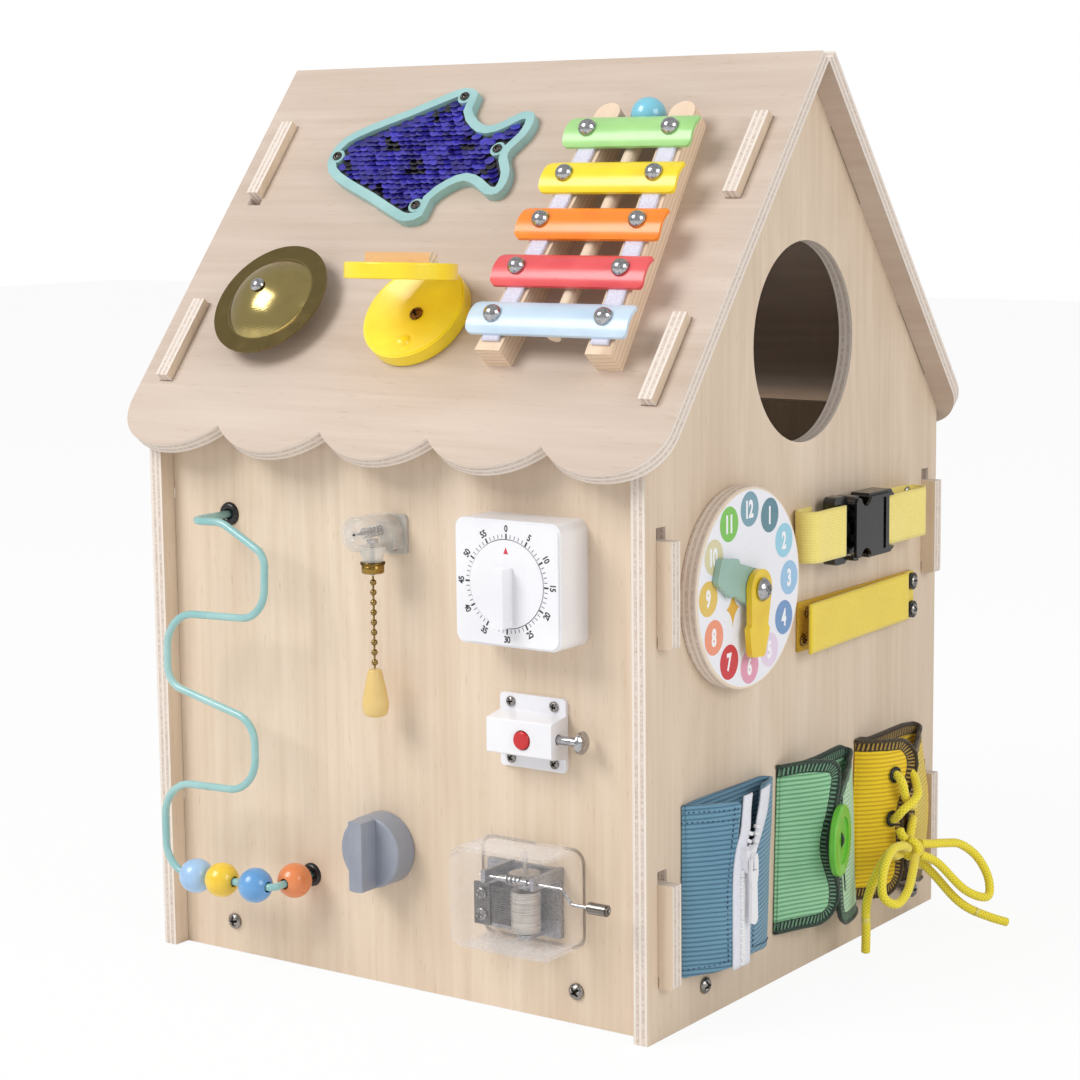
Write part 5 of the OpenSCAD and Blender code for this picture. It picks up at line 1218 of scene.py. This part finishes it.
zip_plans = [
    (25, [(-94.6, 16.6), (-99, 14.6), (-105, 10.6), (-110.5, 6.2), (-113.8, 3.4), (-115.2, 1.6),
          (-113, 0.3), (-80, 0.2), (-52, 0.2), (-48.5, 0.8), (-46, 2.6), (-45, 5), (-48, 7.2),
          (-56, 10.2), (-65, 13), (-73, 15), (-80.5, 16.3)]),
    (50, [(-96, 16.8), (-100, 15), (-105.5, 11), (-110.5, 6.6), (-113.8, 3.5), (-115.2, 1.6),
          (-113, 0.3), (-80, 0.2), (-51, 0.2), (-47.5, 0.8), (-44.8, 2.6), (-44, 5), (-47, 7.6),
          (-55, 10.8), (-64, 13.6), (-73, 15.6), (-80.5, 16.6)]),
    (70, [(-95.8, 16.9), (-100, 15), (-105.5, 11), (-110.5, 6.6), (-113.8, 3.4), (-115, 1.6),
          (-113, 0.3), (-80, 0.2), (-50, 0.2), (-46.5, 0.8), (-43.8, 2.6), (-43, 5), (-46, 7.6),
          (-54, 10.8), (-63, 13.6), (-71, 15.2), (-78, 16.2)]),
    (88, [(-92, 16.9), (-96.5, 15.2), (-102.5, 11.4), (-108.5, 7), (-112.8, 3.6), (-114.6, 1.6),
          (-112.6, 0.3), (-79, 0.2), (-48, 0.2), (-44.3, 0.8), (-41.8, 2.6), (-41, 5), (-44, 7.6),
          (-50, 9.8), (-57, 11.8), (-64, 13.4), (-69, 14.4)]),
    (107, [(-88.2, 17), (-93, 15.5), (-99.5, 11.8), (-106, 7.6), (-111, 4), (-114.2, 1.6),
           (-112.4, 0.3), (-78, 0.2), (-47, 0.2), (-42.6, 0.8), (-40.2, 2.4), (-39.4, 4.6),
           (-41.8, 6.8), (-46.5, 8.6), (-51.5, 9.8), (-55.5, 10.8), (-59, 11.6)]),
]
zip_form = Cloth(zip_plans, [(0, 106.4), (0.2, 107.6), (0.3, 108), (0.68, 107.4), (0.78, 107), (1, 107.6)],
                 [(0, 28), (0.1, 26.4), (0.24, 25.2), (0.5, 25), (0.7, 24.6), (0.78, 25), (1, 29.6)], 2.5)
zip_knit = ribbed("blue_rib_knit", paint(112, 158, 182), paint(62, 104, 132))
zip_body = zip_form.piece("zip_cloth_panel", zip_knit, "cloth_blue", "zip_cloth")
blue_thread = Finish("blue_thread", paint(34, 66, 98), 0.7, **{"Sheen Weight": 0.2})
blue_thread.shade(blue_thread.noise(blue_thread.place(), 2200.0, 2.0), paint(26, 54, 86),
                  paint(52, 88, 120))
for name, spots in (
    ("hem_upper", along_edge(zip_form, 0.012, 0.245, 3.4)),
    ("hem_lower", along_edge(zip_form, 0.012, 0.245, 8.2)),
    ("hem_foot", along_edge(zip_form, 0.04, 0.245, 3.6, False)),
    ("hem_foot_rear", along_edge(zip_form, 0.74, 0.985, 3.2, False)),
    ("tape_seam_front", [(0.026, 31 + 74 * i / 60) for i in range(61)]),
    ("tape_seam_rear", [(0.976, 33 + 72 * i / 60) for i in range(61)]),
):
    stitches("zip_" + name, zip_form, spots, blue_thread, "zip_cloth")

# Tapes: rows of (height, front edge, rear edge), each edge as (along, out)
zip_white = woven("zip_tape", paint(240, 240, 246), paint(214, 216, 228), 0.0007, 0.0006, 0.75, 0.2,
                  0.00012)
tape_rows = {
    "zip_tape_front": [(26.6, (-96.4, 16.7), (-88.9, 16.9)), (50, (-96.8, 17), (-88.9, 17.1)),
                       (72, (-96.6, 17.1), (-88.9, 17.1)), (84, (-93.6, 16.9), (-83.8, 16.8)),
                       (92, (-89.6, 16.9), (-80.6, 16.7)), (100, (-88, 16.9), (-79.8, 16.6)),
                       (108.6, (-86.6, 17), (-78.6, 16.8))],
    "zip_tape_rear": [(26.6, (-88.9, 16.9), (-81.4, 17)), (50, (-88.9, 17.1), (-81.2, 17.1)),
                      (72, (-88.9, 17.1), (-80.6, 17)), (80, (-79.8, 16.9), (-73, 16)),
                      (86, (-76.2, 16.6), (-67, 14.9)), (94, (-73.8, 16.4), (-60.6, 14)),
                      (101, (-70, 15.8), (-57.2, 13.4)), (107.4, (-67, 15), (-54.6, 12.6))],
}
teeth_rows = []
zip_pieces = []
for name, rows in tape_rows.items():
    near, far = [smooth_line([Vector((*row[edge], row[0])) for row in rows], 8)
                 for edge in (1, 2)]
    points, lay, faces = [], [], []
    for i, (p, q) in enumerate(zip(near, far)):
        for k in range(7):
            spot = p.lerp(q, k / 6)
            points.append(on_wall(spot.x, spot.z, spot.y + 0.25 * math.sin(math.pi * k / 6)))
            lay.append((spot.x / 1000, spot.z / 1000))
            if i and k:
                a = i * 7 + k
                faces.append((a, a - 1, a - 8, a - 7))
    zip_pieces.append(new_piece(name, points, faces, zip_white, "house", "zip_cloth",
                                uvs=lay))
    thicken(zip_pieces[-1], 0.7)
    teeth_rows.append(far if name == "zip_tape_front" else near)


def add_tooth(points, faces, seat):
    """Adds one moulded tooth, a small block with eased edges, round its seat."""
    wide, high, deep = 4.2, 2.0, 2.6
    start, rings, sides = len(points), 8, 16
    for i in range(rings + 1):
        v = math.pi * (i / rings - 0.5)
        for k in range(sides):
            u = 2 * math.pi * k / sides
            belt = abs(math.cos(v)) ** 0.5
            points.append(point_on(seat, belt * signed_power(math.cos(u), 0.5) * wide / 2,
                                   belt * signed_power(math.sin(u), 0.5) * high / 2,
                                   signed_power(math.sin(v), 0.5) * deep / 2))
    for i in range(rings):
        for k in range(sides):
            a, b = start + i * sides + k, start + i * sides + (k + 1) % sides
            faces.append((a, b, b + sides, a + sides))


tooth_pitch, first_tooth = 3.4, 28.4
points, faces = [], []
for side, (row, top) in enumerate(zip(teeth_rows, (93, 91.5))):
    want = first_tooth + side * tooth_pitch / 2
    for p, q in zip(row, row[1:]):
        while p.z <= want < q.z and want < top:
            spot = p.lerp(q, (want - p.z) / (q.z - p.z))
            lean = math.atan2(q.x - p.x, q.z - p.z)
            seat = on_side(spot.x + (0.35 if side else -0.35), spot.z, spot.y + 0.5)
            add_tooth(points, faces, seat @ Matrix.Rotation(-lean, 4, "Z"))
            want += tooth_pitch
zip_teeth = new_piece("zip_teeth", points, faces, white_plastic, "house", "zip_cloth")
white_plastic.coat(parts["zip_slider"], parts["zip_pull"])


# ---- Button cloth ----
# Green ribbed knit with an overlocked edge, sewn down as the zip cloth is. A large moulded button
# on a thread shank stands in its bar-tacked slit.
button_plans = [
    (22, [(3, 15.6), (-4, 12.6), (-12, 8.8), (-20.5, 5), (-26, 2.8), (-28.6, 1.4), (-27, 0.3),
          (10, 0.2), (39, 0.2), (44, 0.9), (46.8, 3), (45.6, 6.2), (41, 9), (34, 12), (24, 15),
          (14, 17), (8, 17.6)]),
    (42, [(4.8, 17.6), (-2.5, 14.8), (-11, 10.4), (-19.5, 5.8), (-25.4, 3), (-28, 1.4), (-26.4, 0.3),
          (10, 0.2), (38.6, 0.2), (43, 0.9), (45, 3), (44, 6), (39, 8.7), (31.5, 11.6), (22, 14.4),
          (12, 16.6), (6, 17.3)]),
    (66, [(-7, 17.8), (-11, 15.4), (-16.5, 11.2), (-22, 6.6), (-25.6, 3.3), (-27.4, 1.4),
          (-25.6, 0.3), (10, 0.2), (38, 0.2), (42.4, 0.9), (44.2, 3), (43.2, 5.8), (38.5, 8.4),
          (30, 11.5), (20, 14.4), (10, 16.3), (2.5, 17)]),
    (86, [(1.4, 18), (-4, 15.6), (-11, 11.6), (-18.5, 7), (-23.6, 3.8), (-26.4, 1.6), (-24.8, 0.3),
          (10, 0.2), (37.6, 0.2), (42, 0.9), (43.8, 2.8), (43, 5.2), (38.5, 7.6), (31, 10.6),
          (22, 13.4), (12, 15.6), (5, 16.2)]),
    (108, [(8, 17.8), (1.5, 16.6), (-7, 13.4), (-15.5, 8.8), (-21.8, 4.8), (-25.6, 1.8),
           (-24.2, 0.3), (10, 0.2), (37, 0.2), (41.2, 0.8), (43, 2.2), (42.6, 4), (39, 6),
           (33, 8.4), (26, 10.8), (18, 13), (11, 14.6)]),
]
button_form = Cloth(button_plans,
                    [(0, 107.6), (0.14, 109.6), (0.24, 108.6), (0.32, 105.8), (0.5, 105.4),
                     (0.68, 106.4), (0.73, 104.2), (0.8, 101.6), (0.88, 97.6), (0.95, 93), (1, 87)],
                    [(0, 27), (0.08, 25.4), (0.24, 25), (0.5, 23.5), (0.7, 20.6), (0.8, 20.4), (1, 21.6)],
                    8.5)
green_knit = ribbed("green_rib_knit", paint(162, 216, 172), paint(84, 152, 104), paint(20, 42, 32),
                    paint(104, 150, 118), pale=(0.114, paint(190, 224, 190), paint(150, 196, 156)))
button_body = button_form.piece("button_cloth_panel", green_knit, "cloth_green", "button_cloth")


def sewing_thread(name, dark, light):
    """Spun polyester thread with its twist."""
    thread = Finish(name, dark, 0.7, **{"Sheen Weight": 0.3})
    twist = thread.noise(thread.place(), 1600.0, 2.0)
    thread.shade(thread.span(twist, 0.4, 0.7), dark, light)
    thread.relief(twist, 0.0003, 0.7)
    return thread


def edge_thread(name, cloth, finish, node):
    """Roll of thread over the cut edge."""
    line = cloth.rim[::2]
    return tube(name, line + line[:1], 0.00095, finish, node, 8)


dark_thread = sewing_thread("dark_green_thread", paint(14, 30, 24), paint(58, 86, 66))
green_roll = edge_thread("button_cloth_edge", button_form, dark_thread, "button_cloth")

# Five strands cross the button between its two holes, and the shank under it is wrapped
button_seat = on_side(2.5, 67.8, 20) @ Matrix.Rotation(math.radians(15.5), 4, "Y")
strand_half, strand_gap, strand_r = 3.4, 0.55, 0.00034
points, faces = [], []
for i in range(5):
    strand = [point_on(button_seat, (i - 2) * strand_gap, strand_half * s / 4,
                       0.4 + 1.3 * math.cos(s / 4 * 1.45)) for s in range(-4, 5)]
    add_tube(points, faces, strand, strand_r, 8)
new_piece("button_cross_thread", points, faces, dark_thread, "button")
wraps = [point_on(button_seat, 1.3 * math.cos(t * 0.8), 1.3 * math.sin(t * 0.8), -1.6 - 0.09 * t)
         for t in range(56)]
button_thread = tube("button_thread", wraps, 0.0004, dark_thread, "button_cloth", 8)
for name, share, low, high in (("upper", 0.952, 82.5, 87), ("lower", 0.945, 38.5, 48)):
    spots = [(share + (0.004 if i % 2 else -0.004), low + 0.5 * i)
             for i in range(int((high - low) / 0.5))]
    stitches("button_bar_tack_" + name, button_form, spots, dark_thread,
                          "button_cloth", 1.3)
button_green = moulded("button_green", paint(122, 208, 70), paint(98, 190, 50), 0.3, 0.2,
                       **{"Coat Weight": 0.3, "Subsurface Weight": 0.15, "Subsurface Scale": 0.004})
button_green.coat(parts["big_button"])


# ---- Lace cloth ----
# Yellow ribbed knit with an overlocked edge, sewn down as the other two are. The lace draws its
# free edges together through four eyelets, and one thread end is left long.
lace_plans = [
    (19, [(74.5, 16), (70, 14), (64, 10.8), (58.5, 6.8), (54.4, 3.6), (51.8, 1.6), (53.6, 0.3),
          (86, 0.2), (116, 0.2), (120.4, 0.9), (122.4, 3), (121.8, 5.6), (117, 7.6), (108, 9.6),
          (99, 11.6), (91, 13.6), (84, 15.4), (80, 15)]),
    (46, [(76.4, 17.2), (72, 15.8), (66, 12.6), (59.6, 8), (55, 4), (52.4, 1.6), (54.2, 0.3),
          (87, 0.2), (117, 0.2), (121.6, 0.9), (124, 3), (124.4, 6), (121.6, 8.8), (114.5, 11.2),
          (105.5, 13.6), (97, 15.8), (89, 17.2), (82, 16.4)]),
    (66, [(75.2, 17.2), (71, 15.9), (65.6, 13), (59.6, 8.4), (55.2, 4.2), (52.8, 1.6), (54.6, 0.3),
          (87, 0.2), (117, 0.2), (121.6, 0.9), (124.1, 3), (124.6, 6), (122, 8.9), (115, 11.4),
          (106, 14), (98, 16.3), (90.5, 17.8), (83, 16.6)]),
    (88, [(83.8, 20.8), (78.6, 17.8), (72.6, 15.9), (65.5, 13.2), (59, 8.6), (54.9, 4), (53.8, 1.6),
          (55.4, 0.3), (86, 0.2), (115.4, 0.2), (120, 0.9), (122, 2.6), (122, 5.2), (118.4, 7.4),
          (111, 9.8), (103, 12.2), (95, 14.2), (86, 14.8)]),
    (106, [(84.6, 21), (79.2, 17.8), (72.8, 16), (65.8, 13), (59.6, 8.4), (55.8, 4), (54.6, 1.6),
           (56.4, 0.3), (85, 0.2), (113.4, 0.2), (117.8, 0.8), (120, 2.4), (119.6, 4.6),
           (115.6, 6.6), (108.6, 8.6), (101.6, 10.8), (95, 12.8), (88, 14)]),
]
for height, plan in lace_plans[:3]:
    plan.insert(1, tuple((a + b) / 2 for a, b in zip(plan[0], plan[1])))
lace_form = Cloth(lace_plans,
                  [(0, 103), (0.06, 105), (0.16, 105.8), (0.27, 106.2), (0.34, 104.6), (0.6, 104.8),
                   (0.69, 103.8), (0.74, 102.2), (0.8, 100), (0.87, 96.8), (0.93, 94.6), (1, 92)],
                  [(0, 24), (0.08, 22.8), (0.25, 23.2), (0.5, 21), (0.68, 18.6), (0.78, 19.6),
                   (0.88, 24), (1, 29)], 11)
yellow_knit = ribbed("yellow_rib_knit", paint(252, 216, 34), paint(214, 168, 10), paint(52, 38, 18),
                     paint(176, 142, 60), pale=(0.116, paint(232, 204, 78), paint(210, 178, 44)))
lace_body = lace_form.piece("lace_cloth_panel", yellow_knit, "cloth_yellow", "lace_cloth")
brown_thread = sewing_thread("brown_thread", paint(34, 24, 10), paint(92, 72, 34))
brown_roll = edge_thread("lace_cloth_edge", lace_form, brown_thread, "lace_cloth")
tail_spots = [(99, 19.5, 1.8), (104, 17.2, 2.4), (109, 15, 3), (113.5, 13.6, 3.4), (117, 14.8, 3.2),
              (118.6, 12.6, 2.6), (116.4, 10.4, 2.4)]
thread_tail = tube("lace_cloth_thread_tail", smooth_line([on_wall(*s) for s in tail_spots], 8),
                   0.0013, brown_thread, "lace_cloth", 8)


# ---- Fish with a sequin belly ----
# A frame sawn from 5 mm board and painted, screwed down over a cloth sewn all over with
# overlapping discs of coated film.
roof_down = Vector((0, -math.cos(slope), -math.sin(slope)))
ridge_cut = 9.5796


def on_roof(x, s, out):
    """Seat on the front roof: s is the way down the slope from the ridge cut, in mm."""
    spot = ridge + roof_down * (s + ridge_cut) / 1000 + roof_out * out / 1000
    return seat_at((x / 1000, spot.y, spot.z), (1, 0, 0), -roof_down)


enamel("fish_teal", paint(160, 200, 200), paint(142, 186, 186), 0.4, 0.2).coat(parts["fish_frame"])
backing_t = 0.6
belly = parts["sequin_cloth"]
points, faces = [], []
for polygon in belly.data.polygons:
    if polygon.normal.dot(roof_out) > 0.99:
        faces.append(tuple(range(len(points), len(points) + len(polygon.vertices))))
        points += [belly.data.vertices[i].co - roof_out * backing_t / 1000
                   for i in polygon.vertices]
under = bvhtree.BVHTree.FromPolygons(points, faces)
backing = new_piece("sequin_backing", points, faces, black_ink_and_shade, "house", "sequin_cloth",
                    smooth=False)
thicken(backing, backing_t, -1)

film = Finish("sequin_film", paint(52, 44, 158), 0.26, **{"Metallic": 0.35, "Coat Weight": 0.5,
                                                         "Coat Roughness": 0.1})
# Each disc is laid at one point: its own tone across, and 1 up where it shows its dark side
disc_lay = film.place(source="UV")
flipped = film.part(disc_lay, 1)
tint = film.mix(film.part(disc_lay, 0), paint(34, 24, 118), paint(78, 70, 206))
film.shade(flipped, tint, paint(14, 10, 26))
facets = film.noise(film.place(), 1400.0, 1.0)
film.relief(facets, 0.00006, 0.4)
chance = random.Random(11)
points, faces, lay = [], [], []
step_x, step_s, disc_r, disc_out, inset = 4.3, 3.1, 2.75, 3.9, 1.8
field_x, field_s, field_wide, field_long = -104, 18, 180, 96
for j in range(int(field_long / step_s)):
    for i in range(int(field_wide / step_x)):
        x = field_x + i * step_x + (step_x / 2 if j % 2 else 0) + chance.uniform(-0.3, 0.3)
        s = field_s + j * step_s + chance.uniform(-0.25, 0.25)
        seat = on_roof(x, s, disc_out)
        inside = all(under.ray_cast(point_on(seat, dx, dy, 20), -roof_out)[0] for dx, dy in
                     ((0, 0), (-inset, 0), (inset, 0), (0, inset), (0, -inset)))
        if not inside:
            continue
        patch = math.sin(x * 0.13 + 1.1) * math.sin(s * 0.19 + 0.6) + chance.uniform(-0.5, 0.5)
        shade = (chance.random(), 1.0 if patch > 0.82 else 0.0)
        seat = seat @ Matrix.Rotation(math.radians(chance.uniform(-9, 9) - 17), 4, "X")
        seat = seat @ Matrix.Rotation(math.radians(chance.uniform(-9, 9) + 8), 4, "Y")
        start = len(points)
        points.append(point_on(seat, 0, 0, -0.25))
        for k in range(14):
            turn = 2 * math.pi * k / 14
            points.append(point_on(seat, disc_r * math.cos(turn), disc_r * math.sin(turn)))
            faces.append((start, start + 1 + k, start + 1 + (k + 1) % 14))
        lay += [shade] * 15
sequins = new_piece("sequin_discs", points, faces, film, "house", "sequin_cloth",
                    smooth=False, uvs=lay)
dark_steel = plated("dark_screw", paint(124, 120, 118), paint(60, 56, 54), 0.3)
screw_heads("fish_screws", [(on_roof(x, s, 5), 5.2, 20 + x) for x, s in (
    (-99.5, 64.5), (-34, 26.5), (1.8, 61), (-33.2, 96.5))], dark_steel)


# ---- Cymbal ----
# Spun from thin brass over a form and polished, which leaves fine rings in it. It hangs loose
# under the domed head of a chromed bolt.
def spun(name, centre, inner, outer, split, roughness):
    """Polished brass with rings round a centre. inner is its tone on the dome; outer is a darker copy
    beyond split, painted shade on the flat rim, and the grime leans to it too.
    """
    brass = Finish(name, inner, roughness, **{"Metallic": 1.0})
    away = brass.tree.nodes.new("ShaderNodeVectorMath")
    away.operation = "DISTANCE"
    brass.give(away, {0: brass.place(), 1: centre})
    far = away.outputs["Value"]
    grime = brass.noise(brass.place(), 120.0, 3.0)
    # Painted shade: the flat rim beyond split takes the darker brass.
    tone = brass.mix(brass.span(far, split - 0.0006, split + 0.0006), inner, outer)
    brass.shade(brass.span(grime, 0.45, 0.8, 0.0, 0.4), tone, outer)
    brass.gloss(grime, 0.3, 0.7, roughness, roughness + 0.1)
    rings = brass.sum("SINE", brass.sum("MULTIPLY", far, 9000.0))
    brass.relief(rings, 0.00002, 0.25)
    return brass


cymbal_centre, dome_r = on_roof(-92.5, 160, 10).translation, 0.0245
spun("cymbal_brass", cymbal_centre, paint(178, 160, 104), paint(128, 112, 70), dome_r, 0.13).coat(
    parts["cymbal"])


# ---- Castanet ----
# Two turned beech discs with hollowed faces, painted, joined at the edge by a tape hinge, and a
# glued grip on the upper one.
enamel("castanet_yellow", paint(255, 230, 50), paint(246, 212, 38), 0.34, 0.25).coat(
    parts["castanet_base"], parts["castanet_clapper"])
veneers_from = 0.4
plywood("grip_wood", (1, 0, 0), roof_out, veneers_from, paint(232, 190, 146), paint(208, 160, 112)).coat(
    parts["clapper_grip"])
screw_heads("castanet_screw", [(on_roof(-2, 162.5, 4.5), 7, 35)], bronze)


# ---- Xylophone ----
# Five painted steel bars on felt strips, nailed to two pine rails, and a mallet of pine with a
# lacquered ball that lies between the rails.
def plain_wood(name, along, light, dark):
    """Solid pine: straight grain along one way, and growth rings in the end grain."""
    wood = Finish(name, light, 0.6, **{"Coat Weight": 0.08, "Coat Roughness": 0.4})
    along = Vector(along).normalized()
    side = along.cross((1, 0, 0)) if abs(along.x) < 0.9 else along.cross((0, 0, 1))
    turn = Matrix((side.normalized(), along, side.cross(along).normalized())).to_euler()
    at = wood.place(turn=turn)
    bend = wood.grain(at, (22, 2, 22))
    rings = wood.sum("ADD", wood.sum("DIVIDE", wood.part(at, 0), 0.0026),
                     wood.sum("MULTIPLY", bend, 3.0))
    late = wood.span(wood.sum("PINGPONG", rings, 0.5), 0.3, 0.5)
    fibre = wood.grain(at, (700, 30, 700), 3.0)
    tone = wood.sum("ADD", wood.sum("MULTIPLY", late, 0.6), wood.sum("MULTIPLY", fibre, 0.5))
    wood.shade(wood.span(tone, 0.2, 1.0), light, dark)
    wood.relief(fibre, 0.00006, 0.5)
    return wood


plain_wood("pine_rails", roof_down, paint(232, 208, 182), paint(204, 172, 142)).coat(
    parts["xylophone_rails"])
felt = Finish("lavender_felt", paint(232, 230, 246), 0.95, **{"Sheen Weight": 0.5})
fuzz = felt.noise(felt.place(), 1300.0, 4.0, 0.7)
felt.shade(felt.span(fuzz, 0.35, 0.7), paint(206, 204, 226), paint(240, 238, 250))
felt.relief(fuzz, 0.0005, 0.9)
# The rails spread down the slope, and the felt lies along their middles
music_x, rail_start, rail_half, rail_spread = 87, 47, 21.3, 0.069
felt_start, felt_long, felt_wide, felt_top, felt_t = 50.9, 131.9, 9.3, 14.88, 1.7
for side, name in ((-1, "rail_felt_left"), (1, "rail_felt_right")):
    points, faces, lay = [], [], []
    for i in range(67):
        s = felt_start + felt_long * i / 66
        middle = music_x + side * (rail_half + (s - rail_start) * rail_spread)
        for k in range(9):
            x = middle + felt_wide * (k / 8 - 0.5)
            points.append(on_roof(x, s, felt_top).translation)
            lay.append((x / 1000, s / 1000))
            if i and k:
                a = i * 9 + k
                faces.append((a, a - 9, a - 10, a - 1))
    strip = new_piece(name, points, faces, felt, "house", uvs=lay)
    thicken(strip, felt_t, -1)
for bar, light, dark in (
    ("bar_green", paint(168, 220, 140), paint(152, 206, 124)),
    ("bar_yellow", paint(252, 226, 34), paint(244, 210, 24)),
    ("bar_orange", paint(252, 140, 22), paint(244, 124, 14)),
    ("bar_red", paint(232, 88, 92), paint(220, 72, 78)),
    ("bar_pale_blue", paint(202, 222, 238), paint(186, 208, 228)),
):
    enamel(bar + "_paint", light, dark, 0.3).coat(parts[bar])
enamel("ball_blue", paint(132, 204, 226), paint(116, 190, 214), 0.22, 0.15,
       **{"Coat Weight": 0.6}).coat(parts["mallet_ball"])
plain_wood("mallet_pine", roof_down, paint(236, 216, 192), paint(212, 184, 152)).coat(
    parts["mallet_stick"])
